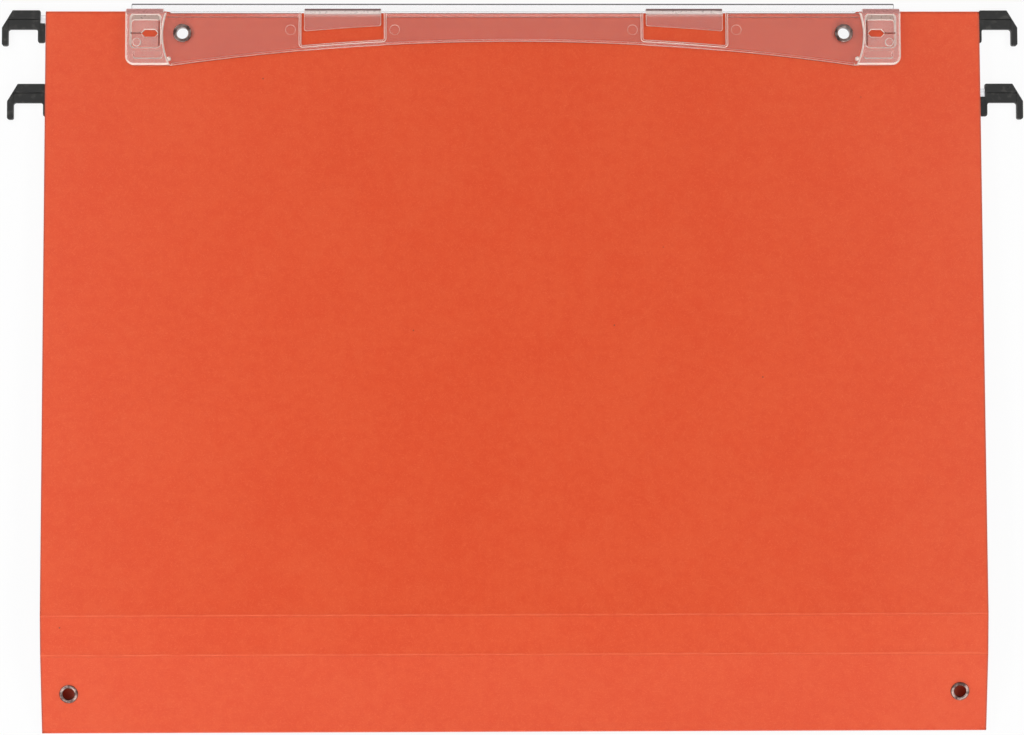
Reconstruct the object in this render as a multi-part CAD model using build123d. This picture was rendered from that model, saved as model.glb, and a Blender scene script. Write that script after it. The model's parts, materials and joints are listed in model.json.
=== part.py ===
from build123d import *
import os
from math import asin, cos, degrees, radians, sin, sqrt

# Hanging file folder: one creased card sheet hung on two hooked steel rods, with a clear title holder
# riveted to its front edge and a clear title strip that hooks over that edge.
# Millimetres. The file lies on its back panel with the front panel uppermost: +X is right, +Y points to
# the rods and +Z is up. The origin is the middle of the bounding box, on the surface under the file.
# The pieces along a top edge are drawn in that edge's own frame: X along the edge, Y up the panel with
# zero at the top edge, Z out of the panel with zero on its outer face. A drop is a distance below the edge.

# Card sheet
card_width = 320.0
card_thickness = 0.4
panel_height = 206.5
expansion_strip_height = 13.4
base_depth = 26.2
fold_inner_radius = 0.5
base_rise_deg = 12.0
strip_rise_deg = 6.0
crease_width = 1.2
crease_press_depth = 0.08

# Hems and the rods in them
hem_pocket_gap = 1.6
hem_height = 14.0
hem_jog_height = 0.3
hem_end_inset = 4.0
rod_thickness = 0.8
rod_height = 3.4
rod_top_drop = 1.4
rod_edge_clearance = 0.2
rod_play = 1.8
rod_seat_depth = 8.0

# Hooks on the rod ends
hook_length = 13.0
hook_top_rise = 0.2
hook_corner_run = 3.6
hook_corner_drop = 6.0
hook_rail_depth = 2.8
hook_web_recess = 0.35
rail_seat_drop = 6.3
outer_leg_width = 2.15
outer_leg_drop = 12.0
inner_leg_width = 2.4
inner_leg_reach = 1.65
inner_leg_top_drop = 4.2
inner_leg_drop = 11.0
inner_leg_clearance = 0.1
throat_radius = 0.9
leg_tip_radius = 0.7
hook_corner_radius = 0.4
hook_edge_bevel = 0.2
hook_end_clearance = 0.1
rod_seat_clearance = 0.05
gate_mark_radius = 0.45
gate_mark_height = 0.12
gate_mark_inset = 4.9
gate_mark_drop = 1.2

# Clear title holder: an arched skirt between two end blocks
holder_end_inset = 27.4
skirt_thickness = 1.0
skirt_top_drop = 0.9
arch_end_inset = 16.6
arch_mid_drop = 10.9
holder_drop = 19.1
holder_corner_radius = 3.0
rim_width = 0.9
rim_height = 0.3
notch_spacing = 117.0
notch_width = 28.2
notch_rim_width = 1.9
ejector_mark_radius = 1.65
ejector_mark_depth = 0.12
ejector_mark_offset = 17.8
ejector_mark_drop = 6.8

# End blocks of the title holder, each with a lip over the card's edge and a snap jaw
block_thickness = 2.6
block_top_width = 14.2
block_waist_width = 12.9
block_foot_width = 15.3
block_edge_radius = 0.3
lip_wall = 0.7
lip_wrap_deg = 100.0
jaw_thickness = 1.2
jaw_recess_length = 10.5
jaw_recess_height = 11.4
jaw_recess_inset = 1.9
jaw_recess_drop = 1.8
jaw_recess_radius = 1.4
jaw_slot_length = 5.6
jaw_slot_height = 2.4
jaw_slot_tip = 1.1
jaw_slot_inset = 5.5
jaw_slot_drop = 8.0
jaw_slit_width = 0.5
jaw_slit_height = 8.5
jaw_slit_inset = 11.5
jaw_boss_radius = 1.5
jaw_boss_inset = 3.9
jaw_boss_drop = 11.2
jaw_boss_height = 0.8
foot_recess_length = 9.5
foot_recess_height = 2.6
foot_recess_inset = 3.0
foot_recess_depth = 0.6
foot_wall = 1.1

# Clear title strip with two curled tongues
strip_end_inset = 1.7
strip_wall = 0.7
strip_top_rise = 2.9
strip_edge_radius = 0.25
tongue_width = 26.3
tongue_gap = 4.8
tongue_wrap_deg = 130.0
edge_clearance = 0.2
rest_gap = 0.2

# Eyelets
eyelet_bore_radius = 2.0
eyelet_wall = 0.3
eyelet_flange_radius = 3.15
eyelet_flange_height = 0.5
eyelet_rim_radius = 2.6
eyelet_rim_height = 0.4
eyelet_bevel = 0.25
eyelet_clearance = 0.05
eyelet_seat_margin = 0.1
title_eyelet_inset = 19.4
base_eyelet_inset = 9.3

# How far a cut runs past the face that it opens
overrun = 1.0

# Sizes that follow from the ones above
fold_outer_radius = fold_inner_radius + card_thickness
hem_thickness = hem_pocket_gap + 2 * card_thickness
hem_radius = hem_thickness / 2
pocket_drop = rod_top_drop + rod_height + rod_edge_clearance
eyelet_barrel_radius = eyelet_bore_radius + eyelet_wall
eyelet_hole_radius = eyelet_barrel_radius + eyelet_clearance
title_eyelet_drop = pocket_drop + hem_jog_height + eyelet_rim_radius + eyelet_seat_margin
curl_inner_radius = hem_radius + edge_clearance
curl_outer_radius = curl_inner_radius + strip_wall
leaf_back = curl_outer_radius * sin(radians(tongue_wrap_deg - 90))
leaf_front = leaf_back - strip_wall
leaf_bottom_rise = sqrt(curl_inner_radius**2 - leaf_front**2) - hem_radius
holder_length = card_width - 2 * holder_end_inset
strip_length = holder_length - 2 * strip_end_inset
title_eyelet_spacing = holder_length - 2 * title_eyelet_inset
base_eyelet_spacing = card_width - 2 * base_eyelet_inset
arch_span = holder_length - 2 * arch_end_inset
arch_sagitta = holder_drop - arch_mid_drop
arch_radius = (arch_sagitta**2 + (arch_span / 2) ** 2) / (2 * arch_sagitta)
hook_root = card_width / 2 + hook_end_clearance + rod_play / 2

# Where the folded card lies, from the bottom fold round to the front panel's top edge
front_edge_height = hem_radius + leaf_back + rest_gap
upper_crease_height = (
    fold_outer_radius * (1 + cos(radians(base_rise_deg)))
    + base_depth * sin(radians(base_rise_deg))
    + expansion_strip_height * sin(radians(strip_rise_deg))
)
panel_slope_deg = degrees(asin((upper_crease_height - front_edge_height) / panel_height))
overall_depth = (
    fold_outer_radius * (1 - sin(radians(base_rise_deg)))
    + base_depth * cos(radians(base_rise_deg))
    + expansion_strip_height * cos(radians(strip_rise_deg))
    + (panel_height + strip_top_rise) * cos(radians(panel_slope_deg))
    - (hem_radius + leaf_front) * sin(radians(panel_slope_deg))
)


def along(point, direction_deg, distance):
    """The (Y, Z) point at a distance from another one."""
    turn = radians(direction_deg)
    return (point[0] + distance * cos(turn), point[1] + distance * sin(turn))


fold_centre = (fold_outer_radius - overall_depth / 2, fold_outer_radius)
base_start = along(fold_centre, base_rise_deg + 90, fold_outer_radius)
base_middle = along(base_start, base_rise_deg, base_depth / 2)
lower_crease = along(base_start, base_rise_deg, base_depth)
upper_crease = along(lower_crease, strip_rise_deg, expansion_strip_height)
front_edge = along(upper_crease, -panel_slope_deg, panel_height)
back_edge = along((fold_centre[0], 0), 0, expansion_strip_height + panel_height)


def tilted_plane(point, rise_deg):
    """Frame at a (Y, Z) point of the card's outer face, on a flat that climbs towards +Y."""
    normal = (0, -sin(radians(rise_deg)), cos(radians(rise_deg)))
    return Plane(origin=(0, *point), x_dir=(1, 0, 0), z_dir=normal)


front_frame = tilted_plane(front_edge, -panel_slope_deg)
base_frame = tilted_plane(base_middle, base_rise_deg)
back_frame = Plane(origin=(0, *back_edge), x_dir=(-1, 0, 0), z_dir=(0, 0, -1))
front_rod_frame = front_frame * Pos(-rod_play / 2, 0, -hem_radius)
rear_rod_frame = Pos(rod_play / 2, back_edge[0], hem_radius)


def outline(points):
    """Flat face inside a closed run of straight lines."""
    return make_face(Polyline(*points, close=True))


def across(section, length):
    """Solid that sweeps a section, drawn in Y and Z, to both sides of X = 0."""
    return extrude(Plane.YZ * section, length / 2, both=True)


def arc_band(centre, inner, outer, start_deg, sweep_deg):
    """Section of a sheet bent round a centre."""
    inside = CenterArc(centre, inner, start_deg, sweep_deg)
    outside = CenterArc(centre, outer, start_deg, sweep_deg)
    return make_face([inside, outside, Line(inside @ 0, outside @ 0), Line(inside @ 1, outside @ 1)])


def card_flat(start, direction_deg, length):
    """Flat of the card sheet whose outer face starts at a (Y, Z) point."""
    end = along(start, direction_deg, length)
    inner_end = along(end, direction_deg - 90, card_thickness)
    inner_start = along(start, direction_deg - 90, card_thickness)
    return across(outline([start, end, inner_end, inner_start]), card_width)


def crease(point, before_deg, after_deg):
    """Band of pressed card between two flats, with the score line along its middle."""
    middle_deg = (before_deg + after_deg) / 2
    before = along(point, before_deg + 180, crease_width / 2)
    after = along(point, after_deg, crease_width / 2)
    return across(
        outline(
            [
                before,
                along(point, middle_deg - 90, crease_press_depth),
                after,
                along(after, after_deg - 90, card_thickness),
                along(point, middle_deg - 90, card_thickness),
                along(before, before_deg - 90, card_thickness),
            ]
        ),
        card_width,
    )


def bore(radius, length):
    """Cutter for a hole that goes from above a face to well under it."""
    return Pos(0, 0, -length) * extrude(Circle(radius), length + overrun)


def at_both(spacing, drop=0):
    """The pair of places a spacing apart, at a drop below the edge."""
    return [Pos(side * spacing / 2, -drop) for side in (-1, 1)]


def base_panel():
    """Base of the pocket, from the bottom fold to the lower crease, with its two eyelet holes."""
    flat = card_flat(base_start, base_rise_deg, base_depth - crease_width / 2)
    for place in at_both(base_eyelet_spacing):
        flat -= base_frame * place * bore(eyelet_hole_radius, card_thickness + overrun)
    return flat


def bottom_fold():
    """Half round fold between the back panel and the base."""
    return across(
        arc_band(fold_centre, fold_inner_radius, fold_outer_radius, 90 + base_rise_deg, 180 - base_rise_deg),
        card_width,
    )


def front_expansion_strip():
    """Narrow flat between the two front creases."""
    start = along(lower_crease, strip_rise_deg, crease_width / 2)
    return card_flat(start, strip_rise_deg, expansion_strip_height - crease_width)


def front_panel():
    """Front cover, from the upper crease to the start of its hem, with the title eyelets' holes."""
    start = along(upper_crease, -panel_slope_deg, crease_width / 2)
    flat = card_flat(start, -panel_slope_deg, panel_height - crease_width / 2 - hem_radius)
    for place in at_both(title_eyelet_spacing, title_eyelet_drop):
        flat -= front_frame * place * bore(eyelet_hole_radius, card_thickness + overrun)
    return flat


def back_panel():
    """Back cover with the score line that mirrors the front's upper crease."""
    length = expansion_strip_height + panel_height - hem_radius
    start = (fold_centre[0], card_thickness)
    score = along((fold_centre[0], 0), 0, expansion_strip_height)
    groove = [
        along(score, 180, crease_width / 2),
        along(score, 90, crease_press_depth),
        along(score, 0, crease_width / 2),
    ]
    return card_flat(start, 0, length) - across(outline(groove), card_width + overrun)


def hem():
    """Top of a panel folded back round its rod, in the edge's frame."""
    fold = arc_band((-hem_radius, -hem_radius), hem_pocket_gap / 2, hem_radius, -90, 180)
    return across(fold, card_width)


def hem_wall():
    """Strip of the folded top that lies behind the rod."""
    wall = Pos(-hem_radius, -hem_thickness) * Rectangle(
        pocket_drop - hem_radius, card_thickness, align=(Align.MAX, Align.MIN)
    )
    return across(wall, card_width - 2 * hem_end_inset)


def hem_flap():
    """End of the folded top: it steps in under the rod and is glued to the panel."""
    glued = pocket_drop + hem_jog_height
    flap = outline(
        [
            (-pocket_drop, -hem_thickness),
            (-glued, -2 * card_thickness),
            (-hem_height, -2 * card_thickness),
            (-hem_height, -card_thickness),
            (-glued, -card_thickness),
            (-pocket_drop, card_thickness - hem_thickness),
        ]
    )
    return across(flap, card_width - 2 * hem_end_inset)


def front_hem_flap():
    """Flap of the front panel's hem, pierced by the title eyelets."""
    flap = hem_flap()
    for place in at_both(title_eyelet_spacing, title_eyelet_drop):
        flap -= place * bore(eyelet_hole_radius, hem_thickness)
    return front_frame * flap


def rod():
    """Flat steel strip that lies in a hem and reaches into both hooks, in the rod's middle plane."""
    length = 2 * (hook_root + rod_seat_depth)
    strip = Pos(0, -rod_top_drop - rod_height / 2) * Rectangle(length, rod_height)
    return extrude(strip, rod_thickness / 2, both=True)


def hook():
    """Right hook: a railed body with an outer leg and a thin inner leg that slides behind the card."""
    leg_inside = hook_length - outer_leg_width
    body = outline(
        [
            (0, hook_top_rise),
            (hook_length - hook_corner_run, hook_top_rise),
            (hook_length, hook_top_rise - hook_corner_drop),
            (hook_length, -outer_leg_drop),
            (leg_inside, -outer_leg_drop),
            (leg_inside, -rail_seat_drop),
            (0, -rail_seat_drop),
        ]
    )
    body = round_corners(body, leg_tip_radius, (hook_length, -outer_leg_drop), (leg_inside, -outer_leg_drop))
    body = round_corners(body, throat_radius, (leg_inside, -rail_seat_drop))
    body = round_corners(
        body,
        hook_corner_radius,
        (0, hook_top_rise),
        (hook_length - hook_corner_run, hook_top_rise),
        (hook_length, hook_top_rise - hook_corner_drop),
    )
    solid = extrude(body, hem_radius, both=True)
    faces = solid.edges().group_by(Axis.Z)
    solid = chamfer(faces[0] + faces[-1], hook_edge_bevel)

    web_height = rail_seat_drop - hook_rail_depth
    web = Rectangle(leg_inside + overrun, web_height + overrun, align=(Align.MAX, Align.MAX))
    recess = extrude(Pos(leg_inside, -hook_rail_depth) * web, hook_web_recess)
    solid -= Pos(0, 0, hem_radius - hook_web_recess) * recess
    solid -= Pos(0, 0, -hem_radius) * recess

    leg_outside = inner_leg_width - inner_leg_reach
    leg = Rectangle(inner_leg_width, inner_leg_drop - inner_leg_top_drop, align=(Align.MIN, Align.MAX))
    leg = Pos(-inner_leg_reach, -inner_leg_top_drop) * leg
    tip_corners = [(leg_outside, -inner_leg_drop), (-inner_leg_reach, -inner_leg_drop)]
    leg = round_corners(leg, leg_tip_radius, *tip_corners)
    solid += extrude(leg, hem_pocket_gap / 2 - inner_leg_clearance, both=True)
    stem = leg & Rectangle(2 * leg_outside, 2 * inner_leg_drop, align=(Align.MIN, Align.CENTER))
    corner = Rectangle(throat_radius, throat_radius, align=(Align.MIN, Align.MAX))
    corner -= Pos(throat_radius, -throat_radius) * Circle(throat_radius)
    stem += Pos(leg_outside, -rail_seat_drop) * corner
    solid += extrude(stem, hem_radius - hook_web_recess, both=True)

    seat = Rectangle(
        rod_seat_depth + rod_seat_clearance + inner_leg_reach + overrun,
        rod_height + 2 * rod_seat_clearance,
        align=(Align.MIN, Align.CENTER),
    )
    seat = Pos(-inner_leg_reach - overrun, -rod_top_drop - rod_height / 2) * seat
    solid -= extrude(seat, rod_thickness / 2 + rod_seat_clearance, both=True)

    mark = Pos(hook_length - gate_mark_inset, -gate_mark_drop, hem_radius)
    solid += mark * extrude(Circle(gate_mark_radius), gate_mark_height)
    return Pos(hook_root, 0) * solid


def round_corners(face, radius, *corners):
    """Face with the corners at the given places rounded."""
    for corner in corners:
        face = fillet(face.vertices().sort_by_distance(corner)[0], radius)
    return face


def arch_disc(offset):
    """Disc whose upper edge follows the holder's arched lower edge at an offset above it."""
    return Pos(0, -arch_mid_drop - arch_radius) * Circle(arch_radius + offset)


def title_holder():
    """Clear moulding: arched skirt, notches for the tongues, and an end block at each side."""
    blank = Pos(0, -skirt_top_drop) * Rectangle(
        holder_length, holder_drop - skirt_top_drop, align=(Align.CENTER, Align.MAX)
    )
    ends = [(side * holder_length / 2, -holder_drop) for side in (-1, 1)]
    blank = round_corners(blank, holder_corner_radius, *ends)
    skirt = blank - arch_disc(0)
    rims = skirt & arch_disc(rim_width)
    for place in at_both(notch_spacing):
        notch = place * Rectangle(notch_width, 2 * holder_drop) - arch_disc(notch_rim_width)
        border = place * Rectangle(notch_width + 2 * rim_width, 2 * holder_drop)
        rims += (border - arch_disc(notch_rim_width - rim_width)) & skirt
        skirt -= notch
        rims -= notch
    solid = extrude(skirt, skirt_thickness)
    solid += Pos(0, 0, skirt_thickness) * extrude(rims, rim_height)
    for notch_place in at_both(notch_spacing, ejector_mark_drop):
        for mark_place in at_both(2 * ejector_mark_offset):
            mark = extrude(Circle(ejector_mark_radius), ejector_mark_depth + overrun)
            solid -= notch_place * mark_place * Pos(0, 0, skirt_thickness - ejector_mark_depth) * mark
    solid += end_block()
    solid += mirror(end_block(), about=Plane.YZ)
    cuts = jaw_cuts()
    solid -= cuts
    solid -= mirror(cuts, about=Plane.YZ)
    solid += jaw_boss()
    solid += mirror(jaw_boss(), about=Plane.YZ)
    for place in at_both(title_eyelet_spacing, title_eyelet_drop):
        solid -= place * Pos(0, 0, skirt_thickness) * bore(eyelet_hole_radius, skirt_thickness + overrun)
    return front_frame * solid


def end_block():
    """Right end block with a waisted inner side and the lip that wraps the card's top edge."""
    outer = holder_length / 2
    inner_side = ThreePointArc(
        (outer - block_top_width, -skirt_top_drop),
        (outer - block_waist_width, -title_eyelet_drop),
        (outer - block_foot_width, -holder_drop),
    )
    foot = (outer, -holder_drop)
    top = (outer, -skirt_top_drop)
    block = make_face([inner_side, Line(inner_side @ 1, foot), Line(foot, top), Line(top, inner_side @ 0)])
    block = extrude(round_corners(block, holder_corner_radius, foot), block_thickness)
    block = fillet(block.edges().group_by(Axis.Z)[-1], block_edge_radius)
    wrap = arc_band(
        (-hem_radius, -hem_radius),
        curl_inner_radius,
        curl_inner_radius + lip_wall,
        90 - lip_wrap_deg,
        lip_wrap_deg,
    )
    root = outline(
        [
            (-hem_radius, edge_clearance),
            (-hem_radius, edge_clearance + lip_wall),
            (-title_eyelet_drop, edge_clearance + lip_wall),
            (-title_eyelet_drop, edge_clearance),
        ]
    )
    lip_place = Pos(outer - block_waist_width / 2)
    return block + lip_place * across(wrap, block_waist_width) + lip_place * across(root, block_waist_width)


def jaw_cuts():
    """What is cut out of the right end block: the jaw's recess, slot and slits, and the foot's recess."""
    outer = holder_length / 2
    recess = Pos(
        outer - jaw_recess_inset - jaw_recess_length / 2,
        -jaw_recess_drop - jaw_recess_height / 2,
        jaw_thickness,
    ) * extrude(RectangleRounded(jaw_recess_length, jaw_recess_height, jaw_recess_radius), block_thickness)
    slot_end = outer - jaw_slot_inset
    slot_start = slot_end - jaw_slot_length
    half = jaw_slot_height / 2
    slot = outline(
        [
            (slot_start, -jaw_slot_drop),
            (slot_start + jaw_slot_tip, half - jaw_slot_drop),
            (slot_end - jaw_slot_tip, half - jaw_slot_drop),
            (slot_end, -jaw_slot_drop),
            (slot_end - jaw_slot_tip, -half - jaw_slot_drop),
            (slot_start + jaw_slot_tip, -half - jaw_slot_drop),
        ]
    )
    slit_end = outer - jaw_recess_inset
    slit_start = outer - jaw_slit_inset
    slit_length = slit_end - slit_start
    slits = Pos(slit_start, -jaw_slot_drop) * Rectangle(
        slit_length, jaw_slit_width, align=(Align.MIN, Align.CENTER)
    )
    slits += Pos(slit_start, -jaw_slot_drop) * Rectangle(jaw_slit_width, jaw_slit_height)
    through = Pos(0, 0, -overrun) * extrude(slot + slits, block_thickness + overrun)
    foot_top = jaw_recess_drop + jaw_recess_height + foot_wall
    foot = Pos(
        outer - foot_recess_inset - foot_recess_length / 2,
        -foot_top - foot_recess_height / 2,
        block_thickness - foot_recess_depth,
    ) * extrude(Rectangle(foot_recess_length, foot_recess_height), block_thickness)
    return recess + through + foot


def jaw_boss():
    """Small round stop on the right jaw."""
    place = Pos(holder_length / 2 - jaw_boss_inset, -jaw_boss_drop, jaw_thickness)
    return place * extrude(Circle(jaw_boss_radius), jaw_boss_height)


def title_strip():
    """Clear strip above the card's edge, with two tongues curled over the hem and down its front."""
    leaf_height = strip_top_rise - leaf_bottom_rise
    leaf_section = Pos(leaf_bottom_rise, -hem_radius - leaf_back) * Rectangle(
        leaf_height, strip_wall, align=(Align.MIN, Align.MIN)
    )
    leaf = across(leaf_section, strip_length)
    leaf = fillet(leaf.edges().filter_by(Axis.X).group_by(Axis.Y)[-1], strip_edge_radius)
    curl = arc_band(
        (-hem_radius, -hem_radius),
        curl_inner_radius,
        curl_outer_radius,
        90 - tongue_wrap_deg,
        tongue_wrap_deg,
    )
    solid = leaf
    for place in at_both(notch_spacing):
        tongue = place * Pos(0, -hem_radius) * Rectangle(
            tongue_width, holder_drop, align=(Align.CENTER, Align.MAX)
        )
        tongue -= arch_disc(notch_rim_width + tongue_gap)
        solid += place * across(curl, tongue_width)
        solid += Pos(0, 0, edge_clearance) * extrude(tongue, strip_wall)
    return front_frame * solid


def eyelet(grip):
    """Hollow rivet through a stack of a given thickness, with its flange on the plane Z = 0."""
    flange = extrude(Circle(eyelet_flange_radius), eyelet_flange_height)
    barrel = Pos(0, 0, -grip) * extrude(Circle(eyelet_barrel_radius), grip)
    rim = Pos(0, 0, -grip - eyelet_rim_height) * extrude(Circle(eyelet_rim_radius), eyelet_rim_height)
    solid = flange + barrel + rim - bore(eyelet_bore_radius, grip + eyelet_rim_height + overrun)
    rings = solid.edges().group_by(Axis.Z)
    return chamfer(rings[0] + rings[-1], eyelet_bevel)


def title_eyelet(place):
    """Eyelet that rivets the title holder, the front panel and its hem together."""
    grip = skirt_thickness + 2 * card_thickness
    return front_frame * place * Pos(0, 0, skirt_thickness) * eyelet(grip)


left_title, right_title = at_both(title_eyelet_spacing, title_eyelet_drop)
left_base, right_base = at_both(base_eyelet_spacing)
left_hook = mirror(hook(), about=Plane.YZ)
right_hook = hook()

pieces = {
    "back_panel": back_panel(),
    "back_hem": back_frame * hem(),
    "back_hem_wall": back_frame * hem_wall(),
    "back_hem_flap": back_frame * hem_flap(),
    "bottom_fold": bottom_fold(),
    "base_panel": base_panel(),
    "lower_crease": crease(lower_crease, base_rise_deg, strip_rise_deg),
    "front_expansion_strip": front_expansion_strip(),
    "upper_crease": crease(upper_crease, strip_rise_deg, -panel_slope_deg),
    "front_panel": front_panel(),
    "front_hem": front_frame * hem(),
    "front_hem_wall": front_frame * hem_wall(),
    "front_hem_flap": front_hem_flap(),
    "front_rod": front_rod_frame * rod(),
    "front_left_hook": front_rod_frame * left_hook,
    "front_right_hook": front_rod_frame * right_hook,
    "rear_rod": rear_rod_frame * rod(),
    "rear_left_hook": rear_rod_frame * left_hook,
    "rear_right_hook": rear_rod_frame * right_hook,
    "title_holder": title_holder(),
    "title_strip": title_strip(),
    "title_eyelet_left": title_eyelet(left_title),
    "title_eyelet_right": title_eyelet(right_title),
    "base_eyelet_left": base_frame * left_base * eyelet(card_thickness),
    "base_eyelet_right": base_frame * right_base * eyelet(card_thickness),
}

os.makedirs("parts", exist_ok=True)
for name, piece in pieces.items():
    export_step(piece, f"parts/{name}.step")
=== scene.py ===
"""Looks of a hanging file folder: creased card, hooked rods, clear title holder, title strip and eyelets.

Metres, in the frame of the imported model: the file lies on its back panel, +X right, +Y to the rods, +Z up.
"""

import json
import logging
from collections.abc import Callable
from dataclasses import dataclass
from enum import Enum, IntEnum
from math import atan2, cos, pi, radians, sin, tan

import bmesh
import bpy
from mathutils import Matrix, Vector


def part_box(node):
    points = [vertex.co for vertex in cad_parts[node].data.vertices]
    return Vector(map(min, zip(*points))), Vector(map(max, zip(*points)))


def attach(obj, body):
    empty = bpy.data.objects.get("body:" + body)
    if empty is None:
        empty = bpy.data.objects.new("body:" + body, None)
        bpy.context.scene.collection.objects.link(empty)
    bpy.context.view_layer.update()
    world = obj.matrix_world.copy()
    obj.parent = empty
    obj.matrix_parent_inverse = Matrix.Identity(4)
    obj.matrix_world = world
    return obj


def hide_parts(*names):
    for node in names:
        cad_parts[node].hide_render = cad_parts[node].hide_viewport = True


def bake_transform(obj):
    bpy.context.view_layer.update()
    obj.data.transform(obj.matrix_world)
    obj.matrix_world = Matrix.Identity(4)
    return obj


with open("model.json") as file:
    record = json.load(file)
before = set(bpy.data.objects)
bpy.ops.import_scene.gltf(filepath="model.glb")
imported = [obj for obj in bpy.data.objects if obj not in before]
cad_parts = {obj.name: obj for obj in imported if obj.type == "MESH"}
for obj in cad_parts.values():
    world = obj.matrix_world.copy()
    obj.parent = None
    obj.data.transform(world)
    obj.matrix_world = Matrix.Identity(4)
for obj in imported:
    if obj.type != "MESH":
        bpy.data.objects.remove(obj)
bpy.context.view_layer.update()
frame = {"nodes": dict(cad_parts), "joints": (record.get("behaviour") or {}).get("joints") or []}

LOG = logging.getLogger("folder")
IMAGE_WIDTH = 1024
MILLIMETRES = 1000.0
SCORE = "score"


def operator(operation: str, swapped: bool = False) -> Callable:
    """Makes a method that adds a Math node.

    Args:
        operation: What the node does.
        swapped: Whether the other value comes first, as in a reflected form.

    Returns:
        The method.
    """

    def method(value: "Value", other: "Value | float" = 0.0) -> "Value":
        """The node's result."""
        return value.graph.math(operation, *((other, value) if swapped else (value, other)))

    return method


class Value:
    """A node socket that takes part in Python sums."""

    def __init__(self, graph: "Graph", socket: bpy.types.NodeSocket) -> None:
        """Keeps the socket and the graph that it is in."""
        self.graph = graph
        self.socket = socket

    __add__, __radd__ = operator("ADD"), operator("ADD", swapped=True)
    __sub__, __rsub__ = operator("SUBTRACT"), operator("SUBTRACT", swapped=True)
    __mul__, __rmul__ = operator("MULTIPLY"), operator("MULTIPLY", swapped=True)
    __truediv__, __rtruediv__ = operator("DIVIDE"), operator("DIVIDE", swapped=True)
    __abs__ = operator("ABSOLUTE")
    most = operator("MAXIMUM")

    def __neg__(self) -> "Value":
        """The value with its sign turned."""
        return self * -1.0

    def ranged(self, least: float, gain: float) -> "Value":
        """A value that grows from least by a gain while this one goes from 0 to 1."""
        return least + gain * self

    def bell(self, width: "Value | float") -> "Value":
        """A bump of height 1 round zero that fades over a width."""
        share = self / width
        return self.graph.math("EXPONENT", -(share * share))

    def step(self, low: "Value | float", high: "Value | float") -> "Value":
        """Smooth climb from 0 at low to 1 at high."""
        sockets = {"Value": self, "From Min": low, "From Max": high}
        return self.graph.node("ShaderNodeMapRange", {"interpolation_type": "SMOOTHSTEP"}, sockets)

    def sibling(self, output: str) -> "Value":
        """Another output of the same node."""
        return Value(self.graph, self.socket.node.outputs[output])


class Graph:
    """A node tree that is filled by short calls."""

    def __init__(self, tree: bpy.types.NodeTree) -> None:
        """Keeps the tree."""
        self.tree = tree

    def node(
        self,
        kind: str,
        settings: dict | None = None,
        sockets: dict | None = None,
        output: str | int = 0,
    ) -> Value:
        """Adds a node.

        Args:
            kind: The node's type.
            settings: Its properties, set first.
            sockets: Values or links of its inputs, by name or place.
            output: Which output is returned.

        Returns:
            The output, ready for sums and links.
        """
        made = self.tree.nodes.new(kind)
        for name, value in (settings or {}).items():
            setattr(made, name, value)
        for name, value in (sockets or {}).items():
            self.feed(made.inputs[name], value)
        return Value(self, made.outputs[output])

    def feed(self, socket: bpy.types.NodeSocket, value: object) -> None:
        """Links a value, or several, to an input, or sets it to a plain number, colour or text.

        Args:
            socket: The input.
            value: A Value, a list of them for an input that takes many, or what the socket holds.
        """
        if isinstance(value, (Value, list)):
            for each in value if isinstance(value, list) else [value]:
                self.tree.links.new(each.socket, socket)
        else:
            socket.default_value = value

    def math(self, operation: str, first: "Value | float", second: "Value | float" = 0.0) -> Value:
        """The result of a Math node."""
        return self.node("ShaderNodeMath", {"operation": operation}, {0: first, 1: second})

    def vector(self, operation: str, first: object, second: object) -> Value:
        """The vector that comes out of a Vector Math node."""
        return self.node("ShaderNodeVectorMath", {"operation": operation}, {0: first, 1: second})

    def blend(self, share: "Value | float", first: object, second: object) -> Value:
        """A mix of two colours, with a share of the second one."""
        sockets = {0: share, 6: first, 7: second}
        return self.node("ShaderNodeMix", {"data_type": "RGBA"}, sockets, output=2)

    def parts(self, vector: Value) -> tuple[Value, Value, Value]:
        """The X, Y and Z of a vector."""
        split = self.node("ShaderNodeSeparateXYZ", sockets={"Vector": vector})
        return split, split.sibling("Y"), split.sibling("Z")

    def joined(self, x: object, y: object, z: object) -> Value:
        """A vector of three values."""
        return self.node("ShaderNodeCombineXYZ", sockets={"X": x, "Y": y, "Z": z})

    def soft_noise(self, place: Value, detail: float) -> Value:
        """Noise round a half, whose patches are about 1 wide, with a number of finer layers."""
        return self.node("ShaderNodeTexNoise", sockets={"Vector": place, "Scale": 1.0, "Detail": detail})


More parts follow.
